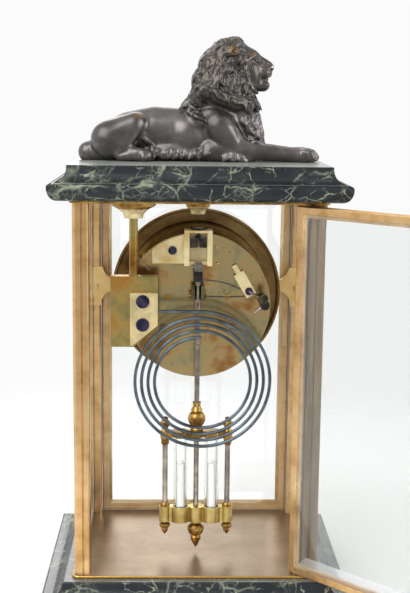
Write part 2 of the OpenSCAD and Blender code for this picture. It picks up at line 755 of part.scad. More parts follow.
module escape_wheel() {
    color("#d2b468") {
        arbor(escape_at);
        pinion(escape_at, lev_third - 1.2, lev_third + 2.4, leaf_r, 6);
        translate([escape_at[0], 0, cz + escape_at[1]]) along_y(lev_escape, lev_escape + 1) difference() {
            polygon([for (i = [0:35], k = [0:1]) let (a = 10 * (i + 0.35 * k), q = k == 0 ? escape_r : escape_r - 1.6)
                [q * cos(a), q * sin(a)]]);
            difference() {
                circle(r = escape_r - 2.8);
                circle(r = 2.4);
                for (i = [0:4]) rotate(72 * i) translate([0, -0.6]) square([escape_r, 1.2]);
            }
        }
    }
}

// The anchor: two curved arms with half round stones that face the escape wheel
module pallets() {
    reach = 10.4;
    fall = 7.4;
    ang = atan2(fall, reach);
    color("#9fa3a8") {
        rod_y(0, sus_z, front_y + 0.5, cheek_y0 + 1.6, arbor_r);
        along_y(lev_escape - 0.5, lev_escape + 1.2) translate([0, sus_z]) union() {
            circle(r = 2.2);
            for (s = [-1, 1]) rotate(s > 0 ? -ang : 180 + ang) translate([0, -0.7]) square([norm([reach, fall]), 1.4]);
        }
        for (s = [-1, 1]) rod_y(s * reach, sus_z - fall, lev_escape - 1.2, lev_escape + 2, 0.9);
    }
}

// The crutch: a collar on the pallet arbor, a thin rod down, and a fork round the pendulum rod
module crutch() {
    y0 = cheek_y0 + 0.4;
    fork_z = sus_z - 32;
    tine = rod_d / 2 + clear;
    color("#b8964e") {
        difference() {
            union() {
                rod_y(0, sus_z, y0, y0 + 1.2, 2.4);
                translate([-1, y0, fork_z - 3]) cube([2, 1.2, sus_z - fork_z + 3]);
                translate([-1, y0, fork_z - 3]) cube([2, pendulum_y - y0 - rod_d / 2 - clear, 3]);
            }
            rod_y(0, sus_z, y0 - 1, y0 + 3, arbor_r + run_fit);
        }
        difference() {
            translate([-4.6, pendulum_y - 3.4, fork_z - 5]) cube([9.2, 6.8, 10]);
            translate([0, pendulum_y, fork_z - 6]) cylinder(r = tine, h = 12);
            translate([-tine, pendulum_y, fork_z - 6]) cube([2 * tine, 6, 12]);
        }
        for (sx = [-1, 1]) translate([sx * 4.5, pendulum_y - 1, fork_z - 2.6]) rotate([0, 90 * sx, 0])
            cylinder(r1 = 1.5, r2 = 1.1, h = 1.8);
    }
}

module minute_wheel() {
    at = [0, motion_v];
    color("#c9a85c") difference() {
        union() {
            wheel(at, front_y - 3, minute_wheel_r, 36, 0.7, 0);
            pinion(at, front_y - 6, front_y - 2.9, minute_pinion_r, 10);
            rod_y(0, cz + motion_v, front_y - 3.1, front_y - 0.4, 1.6);
        }
        rod_y(0, cz + motion_v, front_y - 7, front_y, 0.7 + run_fit);
    }
}

// The hour wheel and its pipe, with the hour hand riveted on
module hour_hand() {
    color("#26324e") difference() {
        union() {
            rod_y(0, cz, hour_y - hand_t, front_y - 4.2, hour_pipe_r);
            wheel([0, 0], front_y - 5.8, hour_wheel_r, 40, 0.7, 0);
            rod_y(0, cz, hour_y - hand_t, hour_y + 0.4, 4.6);
            along_y(hour_y - hand_t, hour_y) translate([0, cz]) rotate(hour_angle) hand_outline(31);
        }
        rod_y(0, cz, hour_y - 3, front_y, centre_r + clear);
    }
}

// A hand that points along +Z: a slender stem, an open leaf and a tip
module hand_outline(long) {
    leaf = long * 0.62;
    leaf_half = long * 0.075;
    difference() {
        polygon([[-0.9, 0], [-0.7, leaf - 6], [-leaf_half, leaf], [-0.6, leaf + 7], [0, long],
            [0.6, leaf + 7], [leaf_half, leaf], [0.7, leaf - 6], [0.9, 0]]);
        polygon([[0, leaf - 3.4], [-leaf_half + 0.9, leaf + 0.1], [0, leaf + 4.4], [leaf_half - 0.9, leaf + 0.1]]);
    }
}

module minute_hand() {
    color("#26324e") difference() {
        union() {
            rod_y(0, cz, minute_y - hand_t, minute_y + 0.4, 3.4);
            along_y(minute_y - hand_t, minute_y) translate([0, cz]) rotate(minute_angle) hand_outline(47);
        }
        rod_y(0, cz, minute_y - 3, minute_y + 1, centre_r + run_fit);
    }
}

// Domed collet in front of the minute hand
module hand_collet() {
    y1 = minute_y - hand_t;
    color("#c9a85c") turned_y(0, cz) polygon([[centre_r + run_fit, y1], [2.8, y1], [2.6, y1 - 0.6], [1.9, y1 - 1],
        [centre_r + run_fit, y1 - 1]]);
}

// Pin wheel of the strike: its eight pins lift the hammer's tail
module pin_wheel() {
    color("#c9a85c") {
        arbor(pin_at);
        pinion(pin_at, lev_barrel - 1.5, lev_barrel + 3, pin_pinion_r, 10);
        wheel(pin_at, lev_centre, pin_wheel_r, 54, 0.6, 0);
        for (i = [0:7]) rod_y(pin_at[0] + (pin_wheel_r - 2) * cos(45 * i), cz + pin_at[1] + (pin_wheel_r - 2) * sin(45 * i),
            lev_centre + wheel_t - 0.1, lev_centre + wheel_t + 1.8, 0.5);
    }
}

module locking_wheel() {
    color("#c9a85c") {
        arbor(lock_at);
        pinion(lock_at, lev_centre - 1, lev_centre + wheel_t + 0.6, leaf_r, 6);
        wheel(lock_at, lev_third, lock_wheel_r, 48, 0.6, 4);
    }
}

// The fly: an air brake of two thin vanes on its arbor
module fly() {
    color("#b9bcc0") {
        arbor(fly_at);
        pinion(fly_at, lev_third - 0.8, lev_third + 2, leaf_r, 6);
        translate([fly_at[0] - 6, front_in + 4, cz + fly_at[1] - 0.3]) cube([12, 18, 0.6]);
    }
}

// The suspension cock: a foot on the back plate, two cheeks, a top bridge and a bottom bar
module suspension_cock() {
    top = sus_z + 12;
    color("#cdb06a") difference() {
        union() {
            along_y(back_y, cheek_y0) intersection() {
                translate([-9.8, cock_z0]) square([42, top - cock_z0]);
                translate([0, cz]) circle(r = movement_r - 0.5);
            }
            translate([6.2, cheek_y0 - 0.1, cock_z0]) cube([3.6, cheek_y1 - cheek_y0 + 0.1, top - cock_z0]);
            translate([-9.8, cheek_y0 - 0.1, cock_z0]) cube([3.6, cheek_y1 - cheek_y0 + 0.1, top - cock_z0]);
            translate([-9.8, pendulum_y - 6.4, cock_z0]) cube([19.6, 2.4, 2.4]);
            translate([-9.8, pendulum_y - 4, top - 1.8]) cube([19.6, cheek_y1 - pendulum_y + 4, 1.8]);
        }
        rod_y(0, sus_z, back_y - 1, cheek_y0 + 1, arbor_r + run_fit);
        rod_y(0, cz + rating_v, back_y - 1, cheek_y0 + 1, rating_r + run_fit);
        rod_y(cock_screw_at[0], cz + cock_screw_at[1], back_y - 1, cheek_y0 + 1, plate_screw_r + run_fit);
        translate([0, pendulum_y, top - 3]) cylinder(r = rating_r + run_fit, h = 4);
    }
}

// Regulator: an arbor from above the twelve, with a pinion that turns a crown wheel
module rating_arbor() {
    z = cz + rating_v;
    color("#8f9298") {
        rod_y(0, z, dial_face - 0.4, pendulum_y - 4.6, rating_r);
        translate([0, 0, z]) along_y(pendulum_y - 6.6, pendulum_y - 4.6) wheel_outline(2.4, 10, 0.5, 0, 0, 0);
    }
}

// The upright screw that the crown wheel turns
module rating_screw() {
    top = sus_z + 12;
    color("#4a4d55") {
        translate([0, pendulum_y, sus_z + 5]) cylinder(r = rating_r, h = 8.6);
        translate([0, pendulum_y, top + 0.1]) linear_extrude(1.6) wheel_outline(4.6, 18, 0.6, 0, 0, 0);
    }
}

// The sliding chops: they grip the spring and set the pendulum's length
module rating_slide() {
    color("#3b3a38") difference() {
        translate([-5.8, pendulum_y - 2.6, sus_z]) cube([11.6, 5.2, 7]);
        translate([-0.65, pendulum_y - 4, sus_z - 1]) cube([1.3, 8, 5.8]);
        translate([0, pendulum_y, sus_z + 4]) cylinder(r = rating_r + run_fit, h = 4);
    }
}

// The suspension spring with its lower chops
module suspension_spring() {
    color("#8f9298") {
        translate([-0.15, pendulum_y - 2, sus_z - 13]) cube([0.3, 4, 15.5]);
        translate([-2.6, pendulum_y - 2.4, sus_z - 17]) cube([5.2, 4.8, 6.4]);
        translate([-4.2, pendulum_y, sus_z - 14]) rotate([0, 90, 0]) cylinder(r = 1, h = 8.4);
    }
}

// The rod: a hook block under the chops, the steel rod, and a turned brass knob
module pendulum_rod() {
    hook_top = sus_z - 17.05;
    color("#9a948c") {
        translate([-3.2, pendulum_y - 3, hook_top - 7]) cube([6.4, 6, 7]);
        translate([0, pendulum_y, bob_z + 1]) cylinder(d = rod_d, h = hook_top - bob_z - 2);
    }
    color("#a27a3c") turned_z(0, pendulum_y) polygon(concat([[0, knob_z + 1], [3, knob_z + 1], [2.7, knob_z - 2.2],
        [3.5, knob_z - 3.6], [4.2, knob_z - 5], [3, knob_z - 6.6]],
        arc(0, knob_z - 11.2, 6.3, 42, -42, 8), [[3.6, knob_z - 17], [4.6, knob_z - 18.4],
        [4.6, gallery_top + 0.05], [0, gallery_top + 0.05]]));
}

// Lobed outline of the pendulum's gallery and base
module lobes(grow) {
    square([2 * post_x, 5.4], center = true);
    circle(r = 5.6 + grow);
    for (s = [-1, 1]) {
        translate([s * vial_x, 0]) circle(r = cup_r + grow);
        translate([s * post_x, 0]) circle(r = 4.1 + grow);
    }
}

// A turned finial that hangs from a given height
module finial(x, z, w, h) {
    turned_z(x, pendulum_y) polygon([[0, z + 0.05], [0.55 * w, z + 0.05], [0.5 * w, z - 0.08 * h], [0.94 * w, z - 0.2 * h],
        [w, z - 0.3 * h], [0.86 * w, z - 0.45 * h], [0.5 * w, z - 0.54 * h], [0.64 * w, z - 0.6 * h],
        [0.6 * w, z - 0.7 * h], [0.34 * w, z - 0.86 * h], [0.1 * w, z - h], [0, z - h]]);
}

// The pendulum's frame: gallery, lobed base, two side posts and their turned ends
module pendulum_frame() {
    color("#b08a48") difference() {
        union() {
            translate([0, pendulum_y, gallery_z]) linear_extrude(gallery_t) lobes(-0.6);
            translate([0, pendulum_y, bob_z]) linear_extrude(bob_t) lobes(0);
            for (s = [-1, 1]) {
                translate([s * post_x, pendulum_y, bob_top - 1]) cylinder(d = 3.9, h = vial_space + 2);
                turned_z(s * post_x, pendulum_y) polygon([[0, gallery_z + 0.1], [3.4, gallery_z + 0.1],
                    [3.4, gallery_z - 1.2], [2.6, gallery_z - 2.4], [3.1, gallery_z - 4.4], [2.4, gallery_z - 5.6],
                    [0, gallery_z - 5.6]]);
                turned_z(s * post_x, pendulum_y) polygon([[0, bob_top - 0.1], [3.6, bob_top - 0.1], [3.2, bob_top + 1.6],
                    [2.4, bob_top + 2.8], [0, bob_top + 2.8]]);
                turned_z(s * post_x, pendulum_y) polygon([[0, gallery_top - 0.1], [3, gallery_top - 0.1],
                    [1.9, gallery_top + 2], [3.7, gallery_top + 4.4], [3.4, gallery_top + 6.4],
                    [1.8, gallery_top + 8.2], [2.3, gallery_top + 9.4], [0, gallery_top + 10.4]]);
                finial(s * post_x, bob_z, 4, 10);
            }
            finial(0, bob_z, 6, 19.8);
        }
        translate([0, pendulum_y, bob_z + 0.9]) cylinder(d = rod_d + 2 * run_fit, h = gallery_top - bob_z);
        for (s = [-1, 1]) translate([s * vial_x, pendulum_y, bob_z + cup_floor])
            cylinder(d = vial_d + 2 * run_fit, h = gallery_z + 2.6 - bob_z - cup_floor);
    }
}

// Two glass vials between the cups and the gallery
module pendulum_vials() {
    z0 = bob_z + cup_floor;
    z1 = gallery_z + 2.6;
    color("#e6efec", 0.4) for (s = [-1, 1]) turned_z(s * vial_x, pendulum_y) polygon([[0, z0 + 0.05],
        [vial_d / 2 - 0.6, z0 + 0.05], [vial_d / 2, z0 + 0.65], [vial_d / 2, z1 - 0.05],
        [vial_d / 2 - vial_wall, z1 - 0.05], [vial_d / 2 - vial_wall, z0 + 2], [0, z0 + 2]]);
}

// The mercury in both vials, with its domed surface
module mercury_columns() {
    r = vial_d / 2 - vial_wall - 0.02;
    z0 = bob_z + cup_floor + 2.02;
    color("#c9ccd0") for (s = [-1, 1]) turned_z(s * vial_x, pendulum_y) polygon([[0, z0], [r, z0],
        [r, z0 + mercury_h - 1], [r * 0.8, z0 + mercury_h - 0.3], [0, z0 + mercury_h]]);
}

// The hammer: its arbor through both plates, a brass arm, a steel rod and the head with its striking tip
module hammer() {
    x = hammer_at[0];
    z = cz + hammer_at[1];
    foot = [-36.2, cz + 11.2];
    head = [-46, cz + 5];
    tip = [-39.6, cz - 0.6];
    arm_y = back_y + 2.6;
    arm = [foot[0] - x, foot[1] - z];
    color("#c2a25a") {
        rod_y(x, z, front_y + 0.5, arm_y + 1.9, hammer_arbor_r);
        translate([x, 0, z]) along_y(arm_y, arm_y + 2) rotate(atan2(arm[1], arm[0])) translate([4.4, -3.9])
            square([norm(arm) - 0.6, 7.8]);
        translate([x, 0, z]) along_y(arm_y, arm_y + 1.2) rotate(atan2(arm[1], arm[0])) translate([-2, -1.7])
            square([7, 3.4]);
        translate([x, 0, z]) along_y(lev_centre + wheel_t + 0.4, lev_centre + wheel_t + 2) translate([0, -0.7]) square([2.6, 1.4]);
    }
    color("#2b3550") rod_y(foot[0], foot[1], arm_y + 1.9, arm_y + 3.4, 2.7);
    color("#55585e") {
        hull() {
            translate([foot[0], arm_y + 2.6, foot[1]]) sphere(r = 1, $fn = 16);
            translate([head[0] + 1, arm_y + 4, head[1] + 1]) sphere(r = 1, $fn = 16);
        }
        rod_y(head[0], head[1], arm_y + 2.2, gong_y + 2.2, 3.4);
        rod_y(head[0], head[1] + 5, gong_y - 5, gong_y + 2, 2.2);
        hull() {
            translate([head[0], gong_y, head[1]]) sphere(r = 1.5, $fn = 16);
            translate([tip[0], gong_y, tip[1]]) sphere(r = 1.1, $fn = 16);
        }
    }
}

// The gong's post, screwed into the top plate and into the block
module gong_post() {
    color("#a08a55") translate([post_x_gong, gong_y, block_z1 - 9.9])
        cylinder(d = post_d, h = cornice_z + 1.4 - block_z1 + 9.9);
}

// The gong's block, with a cut corner and a socket for the wire
module gong_block() {
    color("#b3924e") difference() {
        along_y(block_y0, block_y1) polygon([[block_x0, block_z1], [block_x1, block_z1], [block_x1, block_z0],
            [post_x_gong, block_z0], [block_x0, block_z0 + 15.2]]);
        translate([post_x_gong, gong_y, block_z1 - 10]) cylinder(d = post_d + 2 * run_fit, h = 11);
        translate([block_x0 - 1, gong_y, gong_z + gong_r]) rotate([0, 90, 0])
            cylinder(d = wire_d + 2 * run_fit, h = socket_len + 1);
        for (p = clamp_screws) rod_y(p[0], p[1], block_y1 - 5, block_y1 + 1, clamp_screw_r + run_fit);
    }
}

// The plate that clamps the gong's end
module gong_clamp() {
    x1 = post_x_gong + 2.2;
    z1 = base_z + 193.6;
    z0 = block_z0 + 2;
    color("#b99a56") difference() {
        along_y(block_y1, block_y1 + clamp_t) polygon([[block_x0, z1], [x1, z1], [x1, z0 - 0.5],
            [post_x_gong + 0.6, z0 - 0.5], [block_x0, block_z0 + 15.8]]);
        for (p = clamp_screws) rod_y(p[0], p[1], block_y1 - 1, block_y1 + clamp_t + 1, clamp_screw_r + run_fit);
    }
}

// The gong: one steel wire, straight out of its socket and then wound inwards by a formula
gong_lead = [for (x = [block_x0 + socket_len - 0.3, block_x0 - 2, (block_x0 + gong_x) / 2]) [x, gong_z + gong_r]];
gong_wound = [for (i = [0:gong_steps * gong_turns]) let (a = 360 * i / gong_steps, r = gong_r - gong_pitch * a / 360)
    [gong_x - r * sin(a), gong_z + r * cos(a)]];
gong_path = concat(gong_lead, gong_wound);
// Least gap between neighbouring turns, measured on the path's points
gong_gap = min([for (i = [0:gong_steps * (gong_turns - 1)], j = [gong_steps - 6:gong_steps + 6])
    norm(gong_wound[i] - gong_wound[min(i + j, len(gong_wound) - 1)])]) - wire_d;
echo(gong_gap = gong_gap);

// A round wire swept along points that lie in a plane of constant depth
module plane_wire(path, y, d, sides) {
    n = len(path);
    dirs = [for (i = [0:n - 1]) let (v = path[min(i + 1, n - 1)] - path[max(i - 1, 0)]) v / norm(v)];
    rings = [for (i = [0:n - 1], k = [0:sides - 1]) let (a = 360 * k / sides, u = d / 2 * cos(a), w = d / 2 * sin(a))
        [path[i][0] - dirs[i][1] * u, y + w, path[i][1] + dirs[i][0] * u]];
    skin = [for (i = [0:n - 2], k = [0:sides - 1]) let (a = i * sides + k, b = i * sides + (k + 1) % sides)
        each [[a, b, b + sides], [a, b + sides, a + sides]]];
    caps = [for (k = [1:sides - 2]) each [[0, k + 1, k], [(n - 1) * sides, (n - 1) * sides + k, (n - 1) * sides + k + 1]]];
    polyhedron(points = rings, faces = concat(skin, caps));
}

module gong_spring() {
    color("#3d4a58") plane_wire(gong_path, gong_y, wire_d, gong_sides);
}

// A swelling limb between two balls
module limb(a, ra, b, rb, fn = 20) {
    hull() {
        translate(a) sphere(r = ra, $fn = fn);
        translate(b) sphere(r = rb, $fn = fn);
    }
}

// The couchant lion; its head is towards -X, its belly on the cornice
module lion() {
    color("#3a332b") translate([0, 0, lion_z]) intersection() {
        union() {
            limb([60, -2, 16], 16, [36, 0, 19], 17);
            limb([36, 0, 19], 17.5, [-8, 0, 22], 18.5);
            limb([-8, 0, 24], 19, [-14, 0, 44], 20);
            limb([-14, 0, 44], 21, [-20, 0, 64], 18);
            limb([-20, 0, 64], 18, [-28, 0, 71], 15.5);
            limb([-30, 0, 70], 12, [-45, 0, 62], 6.8);
            limb([-22, 0, 30], 17, [-28, 0, 48], 15);
            for (s = [-1, 1]) {
                limb([48, s * 13, 18], 15.5, [62, s * 11, 14], 14);
                limb([44, s * 19, 6], 6, [32, s * 21, 5], 5.5);
                limb([-14, s * 13, 14], 11, [-34, s * 13, 9], 8);
                limb([-34, s * 13, 9], 8, [-62, s * 12, 7.5], 7.2);
                limb([-62, s * 12, 7], 7, [-76, s * 11, 6], 7.4);
                limb([-23, s * 13, 76], 3, [-23, s * 12, 70], 4);
            }
            limb([66, 12, 6], 8, [75, 6, 5], 8.6);
            limb([74, 2, 4], 4, [50, 26, 3.5], 3.5, 12);
            limb([50, 26, 3.5], 3.4, [-6, 25, 3.4], 3.4, 12);
            limb([-6, 25, 4], 4.5, [-26, 24, 4.5], 5, 12);
        }
        translate([-100, -40, 0]) cube([200, 80, 100]);
    }
}

plinth();
base_plate();
pillar_front_left();
pillar_front_right();
pillar_rear_left();
pillar_rear_right();
top_plate();
cornice();
case_screws();
side_glass_left();
side_glass_right();
lion();
lion_stud();
flared_nuts();
front_door_frame();
front_door_glass();
front_door_latch();
rear_door_frame();
rear_door_glass();
rear_door_latch();
door_pins();
dial_pan();
bezel();
dial();
brackets();
hour_hand();
minute_hand();
hand_collet();
front_plate();
back_plate();
plate_pillars();
blued_screws();
going_barrel();
strike_barrel();
going_winder();
strike_winder();
clicks();
strike_springs();
centre_wheel();
third_wheel();
escape_wheel();
pallets();
crutch();
minute_wheel();
pin_wheel();
locking_wheel();
fly();
suspension_cock();
rating_arbor();
rating_screw();
rating_slide();
suspension_spring();
pendulum_rod();
pendulum_frame();
pendulum_vials();
mercury_columns();
hammer();
gong_post();
gong_block();
gong_clamp();
gong_spring();
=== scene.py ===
# %% [markdown]
# # A glazed brass table clock
#
# The clock is a brass cage between two slabs of dark green marble, with a bronze lion on its roof.
# The CAD frame gives every size and every moving body. The cells below add shapes with soft edges,
# finishes and light. Sizes are written in millimetres and turned to metres in one place.

# %% Tools and the frame
import json
import math
import random

import bpy
from mathutils import Matrix, Vector, kdtree

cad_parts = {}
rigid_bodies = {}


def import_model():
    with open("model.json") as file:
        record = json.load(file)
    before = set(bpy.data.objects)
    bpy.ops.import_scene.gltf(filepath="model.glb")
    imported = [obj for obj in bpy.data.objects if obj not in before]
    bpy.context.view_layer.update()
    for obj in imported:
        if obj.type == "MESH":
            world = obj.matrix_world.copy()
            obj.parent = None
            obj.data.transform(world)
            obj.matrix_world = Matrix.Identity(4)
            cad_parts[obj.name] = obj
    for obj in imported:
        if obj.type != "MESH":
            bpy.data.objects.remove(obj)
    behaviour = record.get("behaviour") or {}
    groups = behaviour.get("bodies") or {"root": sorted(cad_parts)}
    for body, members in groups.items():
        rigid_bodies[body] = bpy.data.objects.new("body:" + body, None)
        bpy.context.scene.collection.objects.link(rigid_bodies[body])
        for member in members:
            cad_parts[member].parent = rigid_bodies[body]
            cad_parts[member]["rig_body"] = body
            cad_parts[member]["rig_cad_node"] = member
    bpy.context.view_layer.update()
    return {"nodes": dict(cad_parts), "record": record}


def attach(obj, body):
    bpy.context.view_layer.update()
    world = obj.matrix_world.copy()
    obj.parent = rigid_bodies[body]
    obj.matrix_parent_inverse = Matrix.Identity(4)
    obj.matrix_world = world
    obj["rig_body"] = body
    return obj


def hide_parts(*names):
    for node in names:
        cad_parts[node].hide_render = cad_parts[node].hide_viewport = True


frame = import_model()
nodes = frame["nodes"]

# %% [markdown]
# Sizes that the clock's drawing fixes. Blender's own pieces are set out from the same values, so
# that they sit where the frame's solids are.

# %% Sizes of the clock
MM = 0.001
HALF_W = 84.0
HALF_D = 65.3
PLINTH_H = 36.0
BASE_Z = 38.0
TOP_Z = 295.0
CORNICE_Z = 297.0
LION_Z = 320.0
CENTRE_Z = 218.0
SUSPENSION_Z = CENTRE_Z + 43.0
GONG_Y = 36.0
PILLAR_W = 10.8
CASE_MIDDLE = (0, 0, 200)
GROUND_BEVEL_TOP = 80


def mm(x, y, z):
    """A point given in millimetres, in Blender's metres."""
    return Vector((x, y, z)) * MM


# %% [markdown]
# The camera stands behind the clock, a little above the dial, because the photograph looks in
# through the open rear door. Its place and axes come from lining up the case's edges. A long lens
# keeps the pillars nearly parallel.

# %% Camera
CAMERA_AT = (15.864, 812.365, 362.535)
CAMERA_RIGHT = Vector((-0.99963929, 0.02451513, 0.01096771))
CAMERA_BACK = Vector((0.02602271, 0.98512746, 0.16984316))
camera_up = CAMERA_BACK.cross(CAMERA_RIGHT)
bpy.ops.object.camera_add(location=mm(*CAMERA_AT))
camera = bpy.context.object
camera.name = "camera"
camera.rotation_euler = Matrix((CAMERA_RIGHT, camera_up, CAMERA_BACK)).transposed().to_euler()
camera.data.sensor_fit = "VERTICAL"
camera.data.sensor_height = 36.0
camera.data.lens = 69.41
camera.data.clip_start = 0.01
bpy.context.scene.camera = camera
bpy.context.scene.view_settings.view_transform = "Standard"
print("the camera looks from", tuple(round(v, 3) for v in camera.location))

# %% [markdown]
# Helpers for finishes. `colour` turns the hex value of a paint chart, which is sRGB, into the linear
# numbers that shaders use. `add` places one shader node and `feed` sets or links its inputs, so a
# material reads as a short list of steps.


# %% Colour and node helpers
def colour(hex_value, alpha=1.0):
    """Linear RGBA from an sRGB hex value."""
    parts = [int(hex_value[i:i + 2], 16) / 255 for i in (1, 3, 5)]
    return [p / 12.92 if p <= 0.04045 else ((p + 0.055) / 1.055) ** 2.4 for p in parts] + [alpha]


def feed(tree, node, inputs):
    """Sets a node's inputs, or links them where the value is another node or one of its outputs."""
    for key, value in inputs.items():
        if isinstance(value, bpy.types.Node):
            value = value.outputs[0]
        if isinstance(value, bpy.types.NodeSocket):
            tree.links.new(value, node.inputs[key])
        else:
            node.inputs[key].default_value = value


def add(tree, kind, inputs=None, **settings):
    """Adds a node with its settings and inputs."""
    made = tree.nodes.new(kind)
    for key, value in settings.items():
        setattr(made, key, value)
    feed(tree, made, inputs or {})
    return made


SHADER = "Principled BSDF"


def start_material(name):
    """A new material with its shader, and the object's own coordinates in metres."""
    material = bpy.data.materials.new(name)
    material.use_nodes = True
    tree = material.node_tree
    place = add(tree, "ShaderNodeTexCoord").outputs["Object"]
    return material, tree, tree.nodes[SHADER], place


def ramp(tree, factor, stops):
    """A colour ramp through (position, hex) stops."""
    made = add(tree, "ShaderNodeValToRGB", {"Fac": factor})
    band = made.color_ramp
    while len(band.elements) < len(stops):
        band.elements.new(0.5)
    for element, (position, hex_value) in zip(band.elements, stops):
        element.position = position
        element.color = colour(hex_value)
    return made.outputs["Color"]


def per_mm(period):
    """The texture scale that repeats once in this many millimetres."""
    return 1000.0 / period


# %% [markdown]
# ## Light
#
# The world gives a plain level of light; camera, mirror and glass rays see white paper instead.
# Polished metal needs something darker to reflect as well, or it looks like chalk, so the room is
# dimmer on the camera's side, where a photographer's studio is dark.

# %% World
world = bpy.data.worlds.new("studio")
bpy.context.scene.world = world
world.use_nodes = True
tree = world.node_tree
direction = add(tree, "ShaderNodeTexCoord").outputs["Generated"]
axes = add(tree, "ShaderNodeSeparateXYZ", {"Vector": direction})
towards_camera = add(tree, "ShaderNodeMapRange", {
    "Value": axes.outputs["Y"], "From Min": -0.2, "From Max": 0.75, "To Min": 1.0, "To Max": 0.55},
    interpolation_type="SMOOTHSTEP")
rays = add(tree, "ShaderNodeLightPath").outputs
seen = add(tree, "ShaderNodeMath", {0: rays["Is Glossy Ray"], 1: towards_camera}, operation="MULTIPLY")
clear = add(tree, "ShaderNodeMath", {0: rays["Is Camera Ray"], 1: rays["Is Transmission Ray"]},
            operation="MAXIMUM")
paper = add(tree, "ShaderNodeMath", {0: seen, 1: clear}, operation="MAXIMUM")
level = add(tree, "ShaderNodeMath", {0: paper, 1: 0.5}, operation="MAXIMUM")
feed(tree, tree.nodes["Background"], {"Strength": level, "Color": colour("#fbfbfb")})

# %% [markdown]
# Four area lamps: a wide one above the camera's left shoulder, a weaker one from the right, one from
# the front of the clock, and a low one that reaches into the case. The low one is cross polarised,
# as photographers do with brass: it lights film and stone but leaves no glint.


# %% Lamps
def lamp(name, place, size, power):
    """A square soft lamp, turned to the middle of the case."""
    bpy.ops.object.light_add(type="AREA", location=mm(*place))
    made = bpy.context.object
    made.name = name
    made.data.shape = "SQUARE"
    made.data.size = size
    made.data.energy = power
    made.rotation_euler = (mm(*CASE_MIDDLE) - mm(*place)).to_track_quat("-Z", "Y").to_euler()
    return made


lamp("key_lamp", (900, 900, 1300), 1.5, 26)
lamp("fill_lamp", (-1200, 500, 700), 0.9, 10)
lamp("front_lamp", (300, -1300, 900), 0.9, 6)
lamp("near_lamp", (200, 1500, 420), 1.0, 6.5).visible_glossy = False

# %% [markdown]
# The clock stands on matt white paper that takes the soft shadow under the plinth and fades into the
# background.

# %% Floor
paper_finish, tree, shader, place = start_material("white_paper")
feed(tree, shader, {"Base Color": colour("#ffffff"), "Roughness": 0.9})
distance = add(tree, "ShaderNodeVectorMath", {0: place}, operation="LENGTH")
fade = add(tree, "ShaderNodeMapRange", {
    "Value": distance.outputs["Value"], "From Min": 0.22, "From Max": 0.7}, interpolation_type="SMOOTHSTEP")
clear = add(tree, "ShaderNodeBsdfTransparent")
blend = add(tree, "ShaderNodeMixShader", {0: fade, 1: shader, 2: clear})
feed(tree, tree.nodes["Material Output"], {"Surface": blend})
bpy.ops.object.select_all(action="DESELECT")
bpy.ops.mesh.primitive_plane_add(size=6.0, location=(0, 0, 0))
floor = bpy.context.object
floor.name = "floor"
floor.data.materials.append(paper_finish)

# %% [markdown]
# ## Finishes
#
# Sea green marble is a breccia: nearly black blocks that broke and were healed by thin pale veins.
# The breaks run in straight lines that cross, so two sets of long cells, turned one each way, give
# the veins, and a finer pair the scratches between them. Slow noise fades the lines in and out, and
# turns the stone green and cream where many of them meet.

# %% Sea green marble
sea_green_marble, tree, shader, place = start_material("sea_green_marble_polished")
bend = add(tree, "ShaderNodeTexNoise", {
    "Vector": place, "Scale": per_mm(16), "Detail": 4.0, "Roughness": 0.6}).outputs["Color"]
centred = add(tree, "ShaderNodeVectorMath", {0: bend, 1: (0.5, 0.5, 0.5)}, operation="SUBTRACT")
scaled = add(tree, "ShaderNodeVectorMath", {0: centred, "Scale": 0.012}, operation="SCALE")
bent = add(tree, "ShaderNodeVectorMath", {0: place, 1: scaled}, operation="ADD")
slow = add(tree, "ShaderNodeTexNoise", {
    "Vector": place, "Scale": per_mm(34), "Detail": 4.0, "Roughness": 0.6}).outputs["Fac"]
quick = add(tree, "ShaderNodeTexNoise", {
    "Vector": bent, "Scale": per_mm(9), "Detail": 5.0, "Roughness": 0.7}).outputs["Fac"]
veins = None
for lean, period, edge, strength, mask, low, high in (
        (36, 19, 0.02, 0.85, quick, 0.45, 0.6), (-31, 22, 0.018, 0.85, quick, 0.46, 0.62),
        (48, 30, 0.035, 0.7, slow, 0.46, 0.62), (52, 6.5, 0.03, 0.4, slow, 0.5, 0.62),
        (-44, 7.5, 0.03, 0.35, slow, 0.52, 0.64)):
    tilt = [math.radians(angle) for angle in (lean * 0.6, lean, -lean * 0.8)]
    turned = add(tree, "ShaderNodeVectorRotate", {"Vector": bent, "Rotation": tilt},
                 rotation_type="EULER_XYZ")
    long_cells = add(tree, "ShaderNodeMapping", {"Vector": turned, "Scale": (0.42, 1.0, 1.0)})
    cells = add(tree, "ShaderNodeTexVoronoi", {"Vector": long_cells, "Scale": per_mm(period)},
                feature="DISTANCE_TO_EDGE")
    line = add(tree, "ShaderNodeMapRange", {
        "Value": cells.outputs["Distance"], "From Min": 0.0, "From Max": edge, "To Min": strength,
        "To Max": 0.0})
    kept = add(tree, "ShaderNodeMapRange", {"Value": mask, "From Min": low, "From Max": high})
    drawn = add(tree, "ShaderNodeMath", {0: line, 1: kept}, operation="MULTIPLY")
    veins = drawn if veins is None else add(tree, "ShaderNodeMath", {0: veins, 1: drawn},
                                            operation="MAXIMUM")
ground = ramp(tree, slow, [(0.4, "#23272a"), (0.58, "#2a2f31"), (0.68, "#353d3a"), (0.8, "#5a6354")])
feather = add(tree, "ShaderNodeMapRange", {
    "Value": quick, "From Min": 0.62, "From Max": 0.82, "To Max": 0.5})
clouded = add(tree, "ShaderNodeMix", {0: feather, 6: ground, 7: colour("#8f9680")}, data_type="RGBA")
stone = add(tree, "ShaderNodeMix", {0: veins, 6: clouded.outputs[2], 7: colour("#a6ab92")}, data_type="RGBA")
feed(tree, shader, {"Base Color": stone.outputs[2], "Roughness": 0.25, "Specular IOR Level": 0.22})


